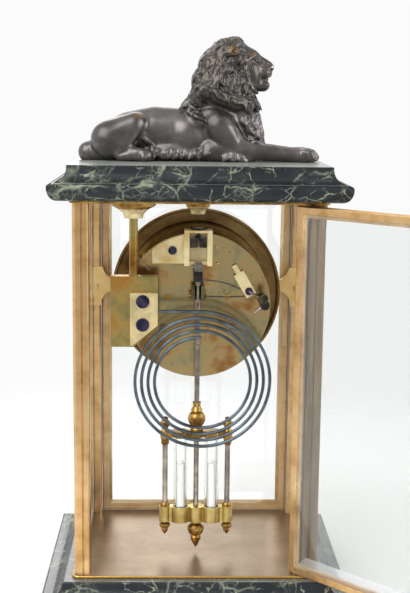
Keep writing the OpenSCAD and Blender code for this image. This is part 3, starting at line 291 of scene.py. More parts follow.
def marble(name, painted_reflection, inputs):
    """The same marble with a share of pale grey over it, a painted reflection, and other inputs of its
    shader.
    """
    made = sea_green_marble.copy()
    made.name = name
    tree = made.node_tree
    stone_shader = tree.nodes[SHADER]
    stone_colour = stone_shader.inputs["Base Color"].links[0].from_socket
    veil = add(tree, "ShaderNodeMix", {0: painted_reflection, 6: stone_colour, 7: colour("#a9aba6")}, data_type="RGBA")
    feed(tree, stone_shader, {"Base Color": veil.outputs[2], **inputs})
    return made


marble_cove = marble("sea_green_marble_matt", 0.0, {"Roughness": 0.7, "Specular IOR Level": 0.0})
# The level top faces get pale grey over the stone: painted reflection of the white room
cornice_top = marble("sea_green_marble_painted_reflection", 0.75, {"Specular IOR Level": 0.5})
plinth_top = marble("sea_green_marble_faint_painted_reflection", 0.3, {"Specular IOR Level": 0.5})


# %% [markdown]
# The case was polished, gilded and lacquered; the movement is bare brass and steel. Lacquer and air
# darken metal unevenly, so each is a noise that a ramp turns into a cloud of tones. On some pieces part
# of the tones shows as diffuse colour instead of metal; on the paler brasses that is partly painted
# light. Enamel and polished rims have one colour. Glass has none, but a film of dust or a ground bevel
# scatters a share of the light.


# %% Kinds of finish
def plain(name, hex_value, roughness, bare=0.0):
    """A finish of one colour."""
    material, tree, shader, _ = start_material(name)
    feed(tree, shader, {"Base Color": colour(hex_value), "Roughness": roughness, "Metallic": bare})
    return material


def cloudy(name, period, tones, roughness, bare=1.0, detail=6.0, fine=0.62, upright=1.0):
    """Metal with a cloud of tones; bare is the metallic share, and the rest shows the tones as diffuse
    colour.
    """
    material, tree, shader, place = start_material(name)
    laid = add(tree, "ShaderNodeMapping", {"Vector": place, "Scale": (1.0, 1.0, upright)})
    cloud = add(tree, "ShaderNodeTexNoise", {
        "Vector": laid, "Scale": per_mm(period), "Detail": detail, "Roughness": fine}).outputs["Fac"]
    feed(tree, shader, {"Base Color": ramp(tree, cloud, tones), "Metallic": bare, "Roughness": roughness})
    return material


def glass(name, hex_value, roughness=0.0, veil="", film_hex="", share=0.0):
    """Plate glass; a film of another shader can cover a share of it."""
    material, tree, shader, _ = start_material(name)
    feed(tree, shader, {"Base Color": colour(hex_value), "Transmission Weight": 1.0, "IOR": 1.5,
                        "Roughness": roughness})
    if veil:
        skin = add(tree, veil, {"Color": colour(film_hex)})
        mixed = add(tree, "ShaderNodeMixShader", {0: share, 1: shader, 2: skin})
        feed(tree, tree.nodes["Material Output"], {"Surface": mixed})
    return material


# %% Gilt brass, more worn where it is darker
gilt_brass = cloudy("gilt_brass_lacquered", 18, [
    (0.3, "#b98f58"), (0.5, "#ddb57e"), (0.72, "#eac998")], 0.34, fine=0.65)
tree = gilt_brass.node_tree
cloud = tree.nodes["Noise Texture"].outputs["Fac"]
worn = add(tree, "ShaderNodeMapRange", {
    "Value": cloud, "From Min": 0.3, "From Max": 0.7, "To Min": 0.42, "To Max": 0.26})
feed(tree, tree.nodes[SHADER], {"Roughness": worn})

# %% Brasses
# Painted shade darkens a pillar behind the open door, in streaks running down; painted light makes the far
# side paler
painted_shade_brass = cloudy("gilt_brass_painted_shade", 5, [
    (0.35, "#634f32"), (0.5, "#776042"), (0.68, "#867153")], 0.38, detail=4.0, fine=0.5, upright=0.1)
far_brass_painted_light = cloudy("gilt_brass_painted_light", 18, [
    (0.3, "#cca570"), (0.5, "#e6c28c"), (0.72, "#f0d4a6")], 0.34, 0.45)
# The rolled plates are dull on their faces and polished on their rims
rim_brass = plain("plate_rim_polished", "#e8b862", 0.2, 1.0)
plate_brass = cloudy("plate_brass_dulled", 30, [
    (0.3, "#86715a"), (0.5, "#98826a"), (0.7, "#a38f76")], 0.36, 0.7, 7.0, 0.7)
# Bare brass tarnishes in warm and olive clouds; wheels, which are cleaned, stay bright
movement_brass = cloudy("movement_brass_tarnished", 22, [
    (0.32, "#8a5f2a"), (0.48, "#b08e4a"), (0.6, "#b9a566"), (0.74, "#8f8a55")], 0.3, 1.0, 5.0, 0.6)
train_brass = cloudy("train_brass_polished", 8, [(0.35, "#b78f48"), (0.65, "#d3b06a")], 0.25, 1.0, 4.0, 0.5)
plate_patina = cloudy("back_plate_brass_mottled", 20, [
    (0.34, "#ad7a44"), (0.47, "#c8aa74"), (0.58, "#b8aa7c"), (0.72, "#9c8f64")], 0.2)
# The pieces between the plate and the door have each aged in their own way. The cock, brackets and
# clamp are paler, with a diffuse share: partly their own colour, partly painted light
pendulum_brass = cloudy("pendulum_brass_browned", 9, [
    (0.35, "#7d5a2a"), (0.52, "#b08a4a"), (0.68, "#cfae6a")], 0.3)
bob_brass = cloudy("bob_brass_pale", 12, [(0.35, "#a08a4c"), (0.52, "#c4ac6c"), (0.68, "#d2c08a")], 0.32)
pan_brass = cloudy("pan_brass_oiled", 25, [(0.32, "#6a502a"), (0.5, "#9c7f52"), (0.7, "#b9a06c")], 0.34)
cock_brass = cloudy("cock_brass_pale", 16, [
    (0.32, "#d2b676"), (0.55, "#f0e0b0"), (0.75, "#e8ca88")], 0.34, 0.4)
crutch_brass = cloudy("crutch_brass_olive", 6, [(0.35, "#4f4429"), (0.55, "#7b7050"), (0.7, "#a89a70")], 0.3)
bracket_brass = cloudy("bracket_brass_gilt", 18, [
    (0.3, "#e2b870"), (0.55, "#f4d08a"), (0.75, "#f8da9c")], 0.3, 0.35)
block_brass = cloudy("block_brass_stained", 17, [
    (0.34, "#98905e"), (0.5, "#c0a462"), (0.64, "#c48b42")], 0.33)
clamp_brass = cloudy("clamp_brass_pale", 17, [
    (0.34, "#c0b080"), (0.5, "#e4d09c"), (0.64, "#deba7a")], 0.33, 0.5)
# Painted shade for the narrow gaps where the doors close: matt and nearly black
gap_shade = cloudy("brass_black_painted_shade", 5, [
    (0.35, "#1c1610"), (0.55, "#2c2218"), (0.7, "#4a3820")], 0.9, 0.0)

# %% Steels, glasses, enamels and mercury
# Heat turns screws and hands blue and the hard gong blue grey; handled steel is warmer, or black
blued_steel = cloudy("steel_heat_blued", 5, [(0.35, "#30344c"), (0.6, "#565068")], 0.25, 1.0, 3.0, 0.5)
gong_steel = cloudy("gong_steel_blue_grey", 12, [(0.35, "#515a60"), (0.65, "#72808a")], 0.32, 1.0, 3.0, 0.5)
grey_steel = cloudy("steel_polished_grey", 3, [(0.35, "#77736c"), (0.65, "#9a968e")], 0.25, 1.0, 3.0, 0.5)
worn_steel = cloudy("steel_warm_worn", 7, [(0.35, "#7d746c"), (0.55, "#a2978c"), (0.7, "#c2b8ac")], 0.24)
black_steel = cloudy("steel_blackened", 7, [(0.35, "#2c2a2a"), (0.55, "#474340"), (0.7, "#7a7058")], 0.3)
# Still air dulls the open door's glass a little, and its ground bevel glows like frosted glass
bevelled_glass = glass("plate_glass_bevelled", "#fbfdfc")
dusty_glass = glass("plate_glass_dusty", "#f1f4f2", 0.0, "ShaderNodeBsdfDiffuse", "#f2f4f4", 0.03)
ground_glass = glass("plate_glass_ground_bevel", "#f8fbff", 0.05,
                     "ShaderNodeBsdfTranslucent", "#fbfdff", 0.4)
# Fired enamel is glossy; mercury in glass is white, partly mirror and partly painted reflection
enamel = plain("enamel_white_fired", "#efe9da", 0.12)
black_enamel = plain("enamel_black_fired", "#16161a", 0.2)
mercury = plain("mercury_liquid", "#ffffff", 0.1, 0.3)

# %% [markdown]
# The lion's bronze is dark in its hollows, partly its patina and partly painted shade, and rubbed to gold
# on its edges, most of all where hands and cloths reach. Below the mane its smooth skin is painted
# lighter and the hair darker, as painted light and shade. A few crests of the face carry a painted
# white glint. Fine noise along the hair gives strands.


# %% Dark bronze
def spots(tree, place, places, core, **settings):
    """1 inside the core of each (x, y, height, reach), on both flanks, falling to 0 at its reach."""
    strongest = None
    for x, y, h, reach in places:
        for side in (-1, 1):
            far = add(tree, "ShaderNodeVectorMath", {0: place, 1: mm(x, side * y, LION_Z + h)},
                      operation="DISTANCE").outputs["Value"]
            spot = add(tree, "ShaderNodeMapRange", {
                "Value": far, "From Min": core * reach * MM, "From Max": reach * MM,
                "To Min": 1.0, "To Max": 0.0}, **settings)
            strongest = spot if strongest is None else add(
                tree, "ShaderNodeMath", {0: strongest, 1: spot}, operation="MAXIMUM")
    return strongest


dark_bronze, tree, shader, place = start_material("bronze_dark_patina")
blotch = add(tree, "ShaderNodeTexNoise", {
    "Vector": place, "Scale": per_mm(24), "Detail": 5.0, "Roughness": 0.6}).outputs["Fac"]
hair_tone = ramp(tree, blotch, [(0.35, "#454240"), (0.55, "#59544f"), (0.75, "#706a64")])
skin_tone = ramp(tree, blotch, [(0.35, "#504d4c"), (0.55, "#6a6664"), (0.75, "#827d7a")])
axes = add(tree, "ShaderNodeSeparateXYZ", {"Vector": place}).outputs
# Painted light and shade: below the mane the smooth skin is lighter, the hair above it darker
high = add(tree, "ShaderNodeMapRange", {
    "Value": axes["Z"], "From Min": (LION_Z + 31) * MM, "From Max": (LION_Z + 40) * MM})
bare = add(tree, "ShaderNodeMix", {0: high, 6: skin_tone, 7: hair_tone}, data_type="RGBA")
sharpness = add(tree, "ShaderNodeNewGeometry").outputs["Pointiness"]
# Darker in the hollows: partly the bronze's own patina, partly painted shade
hollow_patina_and_shade = add(tree, "ShaderNodeMapRange", {
    "Value": sharpness, "From Min": 0.40, "From Max": 0.49, "To Min": 0.85, "To Max": 0.0})
patina = add(tree, "ShaderNodeMix", {0: hollow_patina_and_shade, 6: bare.outputs[2], 7: colour("#0e0d0d")}, data_type="RGBA")
rubbed = add(tree, "ShaderNodeMapRange", {"Value": sharpness, "From Min": 0.53, "From Max": 0.62})
near = spots(tree, place, ((42, 17, 33, 7), (-23, 15, 77, 6), (-37, 8, 74, 4), (-24, 0, 85, 7),
                           (-12, 17, 71, 5),
                           (-80, 12, 6, 5)), 0.0, interpolation_type="SMOOTHSTEP")
edge = add(tree, "ShaderNodeMath", {0: rubbed, 1: 0.36}, operation="ADD")
gold = add(tree, "ShaderNodeMath", {0: edge, 1: near}, operation="MULTIPLY", use_clamp=True)
worn = add(tree, "ShaderNodeMix", {0: gold, 6: patina.outputs[2], 7: colour("#a8793a")}, data_type="RGBA")
# Painted highlight: a near-white glint on the cheek's border and the nose
glint_spots = spots(tree, place, ((-33, 9.8, 69, 4), (-31.6, 11, 63.5, 4), (-32, 10.8, 57.5, 4),
                             (-35.4, 9, 52, 3.6),
                             (-50.6, 2, 65.4, 2.6)), 0.4)
glint_crest = add(tree, "ShaderNodeMapRange", {"Value": sharpness, "From Min": 0.525, "From Max": 0.56})
painted_glint = add(tree, "ShaderNodeMath", {0: glint_crest, 1: glint_spots}, operation="MULTIPLY", use_clamp=True)
colour_with_painted_glint = add(tree, "ShaderNodeMix", {0: painted_glint, 6: worn.outputs[2], 7: colour("#f2efe8")}, data_type="RGBA")
stretch = add(tree, "ShaderNodeMapping", {"Vector": place, "Scale": (1.0, 1.0, 0.28)})
strands = add(tree, "ShaderNodeTexNoise", {"Vector": stretch, "Scale": per_mm(1.5),
                                           "Detail": 2.0}).outputs["Fac"]
maned = add(tree, "ShaderNodeMapRange", {
    "Value": axes["Z"], "From Min": (LION_Z + 36) * MM, "From Max": (LION_Z + 41) * MM,
    "To Min": 0.04, "To Max": 0.6})
low = add(tree, "ShaderNodeMapRange", {
    "Value": axes["Z"], "From Min": (LION_Z + 8) * MM, "From Max": (LION_Z + 6.5) * MM,
    "To Min": 0.0, "To Max": 0.8})
along = add(tree, "ShaderNodeMath", {0: axes["X"]}, operation="ABSOLUTE")
middle_part = add(tree, "ShaderNodeMapRange", {"Value": along, "From Min": 0.033, "From Max": 0.029})
fringed = add(tree, "ShaderNodeMath", {0: low, 1: middle_part}, operation="MULTIPLY")
haired = add(tree, "ShaderNodeMath", {0: maned, 1: fringed}, operation="MAXIMUM")
relief = add(tree, "ShaderNodeBump", {"Height": strands, "Strength": haired, "Distance": 0.0008})
feed(tree, shader, {"Base Color": colour_with_painted_glint.outputs[2], "Normal": relief, "Metallic": 0.8, "Roughness": 0.33})

# %% Give every carried-over node its finish
FINISHES = {"sea_green_marble": sea_green_marble, "gilt_brass": gilt_brass, "bevelled_glass": bevelled_glass,
            "patinated_bronze": dark_bronze, "movement_brass": movement_brass, "train_brass": train_brass,
            "blued_steel": blued_steel, "grey_steel": grey_steel, "enamel": enamel, "mercury": mercury}
for part in frame["record"]["subparts"]:
    mesh = nodes[part["node"]].data
    mesh.materials.clear()
    mesh.materials.append(FINISHES[part["material_slot"]])
for name in ("base_plate", "top_plate"):
    nodes[name].data.materials[0] = plate_brass
nodes["gong_spring"].data.materials[0] = gong_steel

# %% [markdown]
# ## Shaping helpers
#
# `draw` pulls a line of corners out of one point, as one does by hand with E. `turn` spins such a line
# on an axis, as a lathe does, and `thicken` gives a closed outline its depth. `fit` gives a finished
# piece its metal and its body.

# %% Drawing and fitting
body_of_node = {n: body for body, members in frame["record"]["behaviour"]["bodies"].items() for n in members}
slot_of_node = {part["node"]: part["material_slot"] for part in frame["record"]["subparts"]}


def edit_mode(on):
    """Goes in or out of edit mode on the active piece."""
    bpy.ops.object.mode_set(mode="EDIT" if on else "OBJECT")


def pick(*pieces):
    """Selects these pieces only, and makes the first one active."""
    bpy.ops.object.select_all(action="DESELECT")
    for piece in pieces:
        piece.select_set(True)
    bpy.context.view_layer.objects.active = pieces[0]


def apply_change(piece, kind, **settings):
    """Gives the active piece a modifier and applies it."""
    change = piece.modifiers.new(kind, kind)
    for key, value in settings.items():
        setattr(change, key, value)
    bpy.ops.object.modifier_apply(modifier=change.name)


def pull(offset):
    """Extrudes what is selected in edit mode."""
    bpy.ops.mesh.extrude_region_move(TRANSFORM_OT_translate={"value": tuple(offset)})


def draw(name, points):
    """A line of corners through points, left in edit mode with everything selected."""
    bpy.ops.object.select_all(action="DESELECT")
    bpy.ops.mesh.primitive_plane_add(size=0.0001, location=points[0])
    piece = bpy.context.object
    piece.name = name
    bpy.ops.object.transform_apply()
    edit_mode(True)
    bpy.ops.mesh.merge(type="CENTER")
    for here, there in zip(points, points[1:]):
        pull(there - here)
    bpy.ops.mesh.select_all(action="SELECT")
    bpy.ops.mesh.remove_doubles(threshold=1e-7)
    return piece


def close_shape():
    """Merges what spinning or extruding left double and turns the faces outwards."""
    bpy.ops.mesh.select_all(action="SELECT")
    bpy.ops.mesh.remove_doubles(threshold=1e-6)
    bpy.ops.mesh.normals_make_consistent(inside=False)
    edit_mode(False)


def break_edges(piece, width, angle=30, segments=2):
    """Takes the sharpness off every edge, as a file and a buff do; width in millimetres."""
    pick(piece)
    if width > 0:
        apply_change(piece, "BEVEL", width=width * MM, segments=segments, limit_method="ANGLE",
                     angle_limit=math.radians(angle))
    bpy.ops.object.shade_smooth_by_angle(angle=math.radians(38))
    if width > 0:
        apply_change(piece, "WEIGHTED_NORMAL", keep_sharp=True)
    return piece


def turn(name, profile, at, axis="Z", steps=64, rounding=0.3, ring=False):
    """Turns a profile of (radius, distance along the axis); a ring's profile closes on itself."""
    along = Vector((0, 0, 1)) if axis == "Z" else Vector((0, 1, 0))
    centre = mm(*at)
    points = [centre + Vector((r * MM, 0, 0)) + along * (h * MM) for r, h in profile]
    piece = draw(name, points + points[:1] if ring else points)
    if rounding > 0:
        last = len(piece.data.vertices) if ring else len(profile)
        edit_mode(False)
        for vertex in piece.data.vertices:
            vertex.select = ring or 0 < vertex.index < last - 1
        edit_mode(True)
        bpy.ops.mesh.bevel(offset=rounding * MM, segments=2, affect="VERTICES", clamp_overlap=True)
        bpy.ops.mesh.select_all(action="SELECT")
    bpy.ops.mesh.spin(steps=steps, angle=2 * math.pi, center=tuple(centre), axis=tuple(along),
                      use_auto_merge=True)
    close_shape()
    return break_edges(piece, 0)


def thicken(name, points, depth, rounding, angle=30):
    """Fills a closed outline and gives it depth along a vector in millimetres."""
    piece = draw(name, points)
    bpy.ops.mesh.edge_face_add()
    pull(Vector(depth) * MM)
    close_shape()
    return break_edges(piece, rounding, angle)


def join(name, parts):
    """Joins pieces of one metal into one object."""
    pick(*parts)
    bpy.ops.object.join()
    parts[0].name = name
    return parts[0]


def fit(piece, finish, slot, body, *stands_for):
    """Gives a piece its finish and the body that it moves with; slot is not used."""
    piece.data.materials.clear()
    piece.data.materials.append(finish)
    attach(piece, body)
    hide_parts(*stands_for)
    return piece


def dress(piece, finish, chosen):
    """A second finish for the faces that a test picks by middle, in millimetres, and normal."""
    piece.data.materials.append(finish)
    last = len(piece.data.materials) - 1
    for face in piece.data.polygons:
        if chosen(face.center / MM, face.normal):
            face.material_index = last


def soften(node, width, finish, angle=30):
    """Stands a copy of a CAD node in its place, with its sharp corners broken."""
    pick(nodes[node])
    bpy.ops.object.duplicate()
    piece = bpy.context.object
    piece.name = node + "_filed"
    piece.parent = None
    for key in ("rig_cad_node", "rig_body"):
        del piece[key]
    edit_mode(True)
    bpy.ops.mesh.select_all(action="SELECT")
    bpy.ops.mesh.remove_doubles(threshold=1e-6)
    bpy.ops.mesh.dissolve_limited(angle_limit=math.radians(0.5))
    edit_mode(False)
    break_edges(piece, width, angle)
    return fit(piece, finish, slot_of_node[node], body_of_node[node], node)


# %% [markdown]
# ## Marble plinth and cornice
#
# A mason grinds the same moulding along the slab's four sides, so the mouldings meet in mitres. Here a
# rectangle is pulled up step by step and widened to the moulding's overhang at each height. The
# coves are arcs of many small steps, because polished stone shows every flat.


# %% Moulded slabs
def rectangle(name, overhang, z):
    """A level rectangle so far outside the pillars, left in edit mode with everything selected."""
    bpy.ops.object.select_all(action="DESELECT")
    bpy.ops.mesh.primitive_plane_add(size=2.0, location=mm(0, 0, z))
    piece = bpy.context.object
    piece.name = name
    bpy.ops.transform.resize(value=((HALF_W + overhang) * MM, (HALF_D + overhang) * MM, 1))
    bpy.ops.object.transform_apply()
    edit_mode(True)
    bpy.ops.mesh.select_all(action="SELECT")
    return piece


def moulded_slab(name, z, outline, node, top):
    """Pulls a rectangle up through (overhang, height) steps."""
    piece = rectangle(name, outline[0][0], z + outline[0][1])
    for (out0, z0), (out1, z1) in zip(outline, outline[1:]):
        pull(mm(0, 0, z1 - z0))
        wide = (HALF_W + out1) / (HALF_W + out0)
        deep = (HALF_D + out1) / (HALF_D + out0)
        bpy.ops.transform.resize(value=(wide, deep, 1))
    close_shape()
    break_edges(piece, 0.45, 22)
    fit(piece, sea_green_marble, "sea_green_marble", "case", node)
    # Level top faces take the marble with painted reflection
    dress(piece, top, lambda at, way: way.z > 0.95)
    dress(piece, marble_cove, lambda at, way: 0.6 < way.z < 0.98
          and CORNICE_Z + 8 < at.z < CORNICE_Z + 14)


def arc(cx, cy, rx, ry, start, end, steps):
    """Points of an elliptical arc, angles in degrees."""
    turned = [math.radians(start + (end - start) * i / steps) for i in range(steps + 1)]
    return [(cx + rx * math.cos(a), cy + ry * math.sin(a)) for a in turned]


plinth_shape = [(21.8, 0), (22.8, 1), (22.8, 23)] + arc(20.8, 24, 2, 2, 10, 90, 6)
plinth_shape += arc(19.6, 34.8, 11.5, 8.8, 268, 180, 16) + [(7.1, 36)]
moulded_slab("plinth_slab", 0, plinth_shape, "plinth", plinth_top)
cornice_shape = [(8.9, 0)] + arc(8.9, 9.2, 6.1, 9.0, -80, 0, 12) + [(14.6, 10.6)]
cornice_shape += arc(12.7, 21.1, 9.6, 9.6, 265, 183, 16) + [(3.1, 22.4), (2.5, 23)]
moulded_slab("cornice_slab", CORNICE_Z, cornice_shape, "cornice", cornice_top)

# %% [markdown]
# ## Brass plates and pillars
#
# The case's floor and roof are plates with round corners and a rounded rim that catches the light. The
# pillars are drawn bars: a square with a chamfer, two sunk reeds and the groove that takes the side
# glass. Two have a pocket for the tongue of a door's latch. The faces in the gaps where the doors close
# are painted nearly black, as painted shade.


# %% Floor and roof plates
def rounded_plate(name, z, node, rim):
    """A plate with round corners and a rounded rim."""
    piece = rectangle(name, 2, z)
    bpy.ops.mesh.bevel(offset=5 * MM, segments=10, affect="VERTICES")
    bpy.ops.mesh.select_all(action="SELECT")
    pull(mm(0, 0, 2))
    close_shape()
    break_edges(piece, 0.7, 40, 3)
    fit(piece, plate_brass, "gilt_brass", "case", node)
    dress(piece, rim, lambda at, way: abs(way.z) < 0.95)


rounded_plate("floor_plate", PLINTH_H, "base_plate", rim_brass)
# The roof plate's rim, in the cornice's shadow, takes the darker browned brass: painted shade
rounded_plate("roof_plate", TOP_Z, "top_plate", pendulum_brass)

# %% Pillars
LATCH_Z = (BASE_Z + TOP_Z) / 2
DOOR_EDGE = HALF_D - 4.7
PILLAR_SECTION = [(2, 0), (5.5, 0), (5.8, 1), (6.4, 1), (6.7, 0), (9.8, 0), (10.8, 1), (10.8, 4.6),
                  (10.8, 10), (10, 10.8), (5.3, 10.8), (5.3, 8.6), (2.1, 8.6), (2.1, 10.8), (0.8, 10.8),
                  (0, 10), (0, 6.7), (1, 6.4), (1, 5.8), (0, 5.5), (0, 2)]
for node, side, depth, finish in (
        ("pillar_front_left", -1, -1, far_brass_painted_light), ("pillar_front_right", 1, -1, gilt_brass),
        ("pillar_rear_left", -1, 1, painted_shade_brass), ("pillar_rear_right", 1, 1, gilt_brass)):
    corners = [mm(side * (HALF_W - u), depth * (HALF_D - v), BASE_Z) for u, v in PILLAR_SECTION]
    bar = thicken(node + "_bar", corners, (0, 0, TOP_Z - BASE_Z), 0.16, 20)
    if side == depth:
        tongue_at = mm(side * (HALF_W - 9.7), depth * (HALF_D - 5.2), LATCH_Z + 1.8)
        bpy.ops.mesh.primitive_cube_add(size=1, location=tongue_at)
        pocket = bpy.context.object
        pocket.scale = mm(4.2, 2.8, 9.6)
        pick(bar)
        apply_change(bar, "BOOLEAN", object=pocket)
        bpy.data.objects.remove(pocket)
    fit(bar, finish, "gilt_brass", "case", node)
    # The pillar's faces in the gap where a door closes are painted nearly black: painted shade
    dress(bar, gap_shade, lambda at, way: abs(way.x) > 0.9 and abs(at.x) < HALF_W - 10.7
          and abs(at.y) > DOOR_EDGE)

# %% [markdown]
# ## Doors
#
# Each door is four mitred bars with a rebate inside for the glass. A bar is one section pulled along its
# length. Its corners start as far along as they lie inwards, which gives the mitre, and the far end
# is mirrored. Broken edges at the mitres leave the fine line that shows where the bars meet.

# %% Door frames
DOOR_W = 2 * (HALF_W - PILLAR_W) - 0.6
DOOR_H = TOP_Z - BASE_Z - 1.0
HINGE_INSET = 4.6
HINGE_X = HALF_W - PILLAR_W - 0.3 - HINGE_INSET
HINGE_Y = HALF_D - 2.0
REAR_OPEN = 135
BAR_SECTION = [(0, -1), (1, -2), (5.5, -2), (5.5, 0.4), (8, 0.4), (8, 1.5), (7.5, 2), (1, 2), (0, 1)]


def door_bar(name, inwards, along, corner, length):
    """One mitred bar: its section lies inwards of the door's edge, its length runs along."""
    inwards, along, across = Vector(inwards), Vector(along), Vector((0, 1, 0))
    start = mm(*corner)
    points = [start + (inwards * u + across * y + along * u) * MM for u, y in BAR_SECTION]
    piece = draw(name, points)
    bpy.ops.mesh.edge_face_add()
    pull(along * length * MM)
    flip = [-1 if abs(a) > 0.5 else 1 for a in along]
    bpy.ops.transform.resize(value=flip, center_override=tuple(start + along * length * MM))
    close_shape()
    return break_edges(piece, 0.16, 25)


def door(name, hinge, turned, node, body, finish):
    """Four bars round the opening, hung at the hinge and turned by an angle."""
    left, right, low = -HINGE_INSET, DOOR_W - HINGE_INSET, BASE_Z + 0.5
    bars = [door_bar("hinge_stile", (1, 0, 0), (0, 0, 1), (left, 0, low), DOOR_H),
            door_bar("free_stile", (-1, 0, 0), (0, 0, 1), (right, 0, low), DOOR_H),
            door_bar("low_rail", (0, 0, 1), (1, 0, 0), (left, 0, low), DOOR_W),
            door_bar("top_rail", (0, 0, -1), (1, 0, 0), (left, 0, low + DOOR_H), DOOR_W)]
    frame_piece = join(name, bars)
    frame_piece.matrix_world = Matrix.Translation(mm(*hinge)) @ Matrix.Rotation(math.radians(turned), 4, "Z")
    bpy.ops.object.transform_apply()
    fit(frame_piece, finish, "gilt_brass", body, node)
    # The stiles' faces in the gap against the pillars are painted nearly black: painted shade
    dress(frame_piece, gap_shade, lambda at, way: abs(way.x) > 0.95 and abs(at.x) > HALF_W - 11.2)


door("rear_door_bars", (-HINGE_X, HINGE_Y, 0), REAR_OPEN, "rear_door_frame", "rear_door", gilt_brass)
door("front_door_bars", (HINGE_X, -HINGE_Y, 0), 180, "front_door_frame", "front_door", far_brass_painted_light)

# %% [markdown]
# ## Filed and turned parts
#
# The small parts have their true shape in the frame. What a CAD solid lacks is the broken edge that a
# file leaves on every corner and that shows as a bright line, so each gets a copy with such edges.

# %% Parts with broken edges
KNOB_Z = SUSPENSION_Z - 112
GALLERY_Z = KNOB_Z - 24.6
BOB_TOP = GALLERY_Z - 51.8
BOB_T = 11.3
HAMMER_SCREW = (-36.2, CENTRE_Z + 11.2)
made = {}
for node, width, finish in (
        ("suspension_cock", 0.3, cock_brass), ("gong_block", 0.35, block_brass),
        ("gong_clamp", 0.35, clamp_brass), ("brackets", 0.25, bracket_brass), ("hammer", 0.2, cock_brass),
        ("crutch", 0.15, cock_brass), ("rating_slide", 0.2, black_steel),
        ("suspension_spring", 0.08, grey_steel), ("rating_screw", 0.1, black_steel),
        ("rating_arbor", 0.1, grey_steel), ("pendulum_frame", 0.3, pendulum_brass),
        ("flared_nuts", 0.3, cock_brass), ("dial_pan", 0.25, pan_brass), ("bezel", 0.25, gilt_brass),
        ("front_door_latch", 0.2, gilt_brass), ("rear_door_latch", 0.2, gilt_brass),
        ("hour_hand", 0.1, blued_steel), ("minute_hand", 0.1, blued_steel),
        ("hand_collet", 0.1, train_brass), ("back_plate", 0.18, plate_patina),
        ("front_plate", 0.18, train_brass), ("blued_screws", 0.15, blued_steel),
        ("case_screws", 0.25, gilt_brass), ("plate_pillars", 0.2, train_brass),
        ("gong_post", 0.2, movement_brass)):
    made[node] = soften(node, width, finish)
dress(made["pendulum_frame"], worn_steel, lambda at, way: BOB_TOP + 2.9 < at.z < GALLERY_Z - 5.7)
dress(made["pendulum_frame"], bob_brass, lambda at, way: BOB_TOP - BOB_T - 0.1 < at.z < BOB_TOP + 0.1)
dress(made["crutch"], crutch_brass, lambda at, way: at.z < SUSPENSION_Z - 20)
dress(made["hammer"], worn_steel, lambda at, way: at.y > 15.7)
dress(made["hammer"], blued_steel, lambda at, way: at.y > 15.7 and math.dist(at.xz, HAMMER_SCREW) < 2.9)
dress(made["hammer"], black_steel, lambda at, way: at.y > 14 and at.x < -42.6 and at.z > 221)
for x, h, reach in ((-24.5, -16.5, 3.2), (24.5, -16.5, 3.2), (38, 29.4, 9)):
    dress(made["blued_screws"], worn_steel, lambda at, way: at.y > 0
          and math.dist(at.xz, (x, CENTRE_Z + h)) < reach)
dress(made["blued_screws"], worn_steel, lambda at, way: abs(way.z) > 0.7 and at.y > GONG_Y + 7)
for node in ("going_winder", "strike_winder"):
    dress(nodes[node], train_brass, lambda at, way: at.y > 0)
dress(made["flared_nuts"], pendulum_brass, lambda at, way: at.z > TOP_Z - 5.8)
nodes["pendulum_rod"].data.materials[0] = pendulum_brass
dress(nodes["pendulum_rod"], worn_steel, lambda at, way: abs(at.z - KNOB_Z + 9) > 11.4)
dress(nodes["pendulum_rod"], black_steel, lambda at, way: at.z > SUSPENSION_Z - 24.2)
nodes["rear_door_glass"].data.materials[0] = dusty_glass
dress(nodes["rear_door_glass"], ground_glass,
      lambda at, way: at.z < GROUND_BEVEL_TOP and 0.02 < abs(way.z) < 0.9)
# The side panes' edges take the blackened steel colour as painted shade where they sit in the pillars'
# grooves
for side in ("left", "right"):
    dress(nodes["side_glass_" + side], black_steel, lambda at, way: abs(way.x) < 0.02)
print("parts with broken edges are in place")

# %% [markdown]
# ## Gong
#
# The gong is one steel wire wound inwards in its own plane. Its outer end runs straight into the
# block. The curve repeats the frame's formula with more steps, so that the wire is smooth.

# %% Gong wire
GONG_X = -2.4
GONG_Z = BASE_Z + 130.6
GONG_R = 49.4
GONG_PITCH = 4.55
STEPS_A_TURN = 72
gong_line = [mm(x, GONG_Y, GONG_Z + GONG_R) for x in (36.5, 25.8, 12.3)]
for i in range(STEPS_A_TURN * 4 + 1):
    turned = math.radians(i * 360 / STEPS_A_TURN)
    reach = GONG_R - GONG_PITCH * i / STEPS_A_TURN
    gong_line.append(mm(GONG_X - reach * math.sin(turned), GONG_Y, GONG_Z + reach * math.cos(turned)))


def wire(name, points, diameter, sides=3):
    """A round wire along points: a drawn line becomes a curve with a round section, and then a mesh."""
    piece = draw(name, points)
    edit_mode(False)
    bpy.ops.object.convert(target="CURVE")
    piece = bpy.context.object
    piece.data.dimensions = "3D"
    piece.data.bevel_depth = diameter * MM / 2
    piece.data.bevel_resolution = sides
    piece.data.use_fill_caps = True
    bpy.ops.object.convert(target="MESH")
    piece = bpy.context.object
    bpy.ops.object.shade_smooth_by_angle(angle=math.radians(45))
    return piece


fit(wire("gong_coil", gong_line, 2.3), gong_steel, "blued_steel", "case", "gong_spring")

# %% [markdown]
# ## Dial
#
# Plain black numbers are fired on the white enamel. They are flat text turned into a thin mesh, and
# the minute track is two fine rings with sixty strokes.

# %% Numbers and minute track
DIAL_Y = -54.4
NUMBERS = ["XII", "I", "II", "III", "IIII", "V", "VI", "VII", "VIII", "IX", "X", "XI"]
STAND = Matrix.Rotation(math.radians(90), 4, "X")
NARROW = Matrix.Diagonal((0.78, 1, 1, 1))
black_marks = []


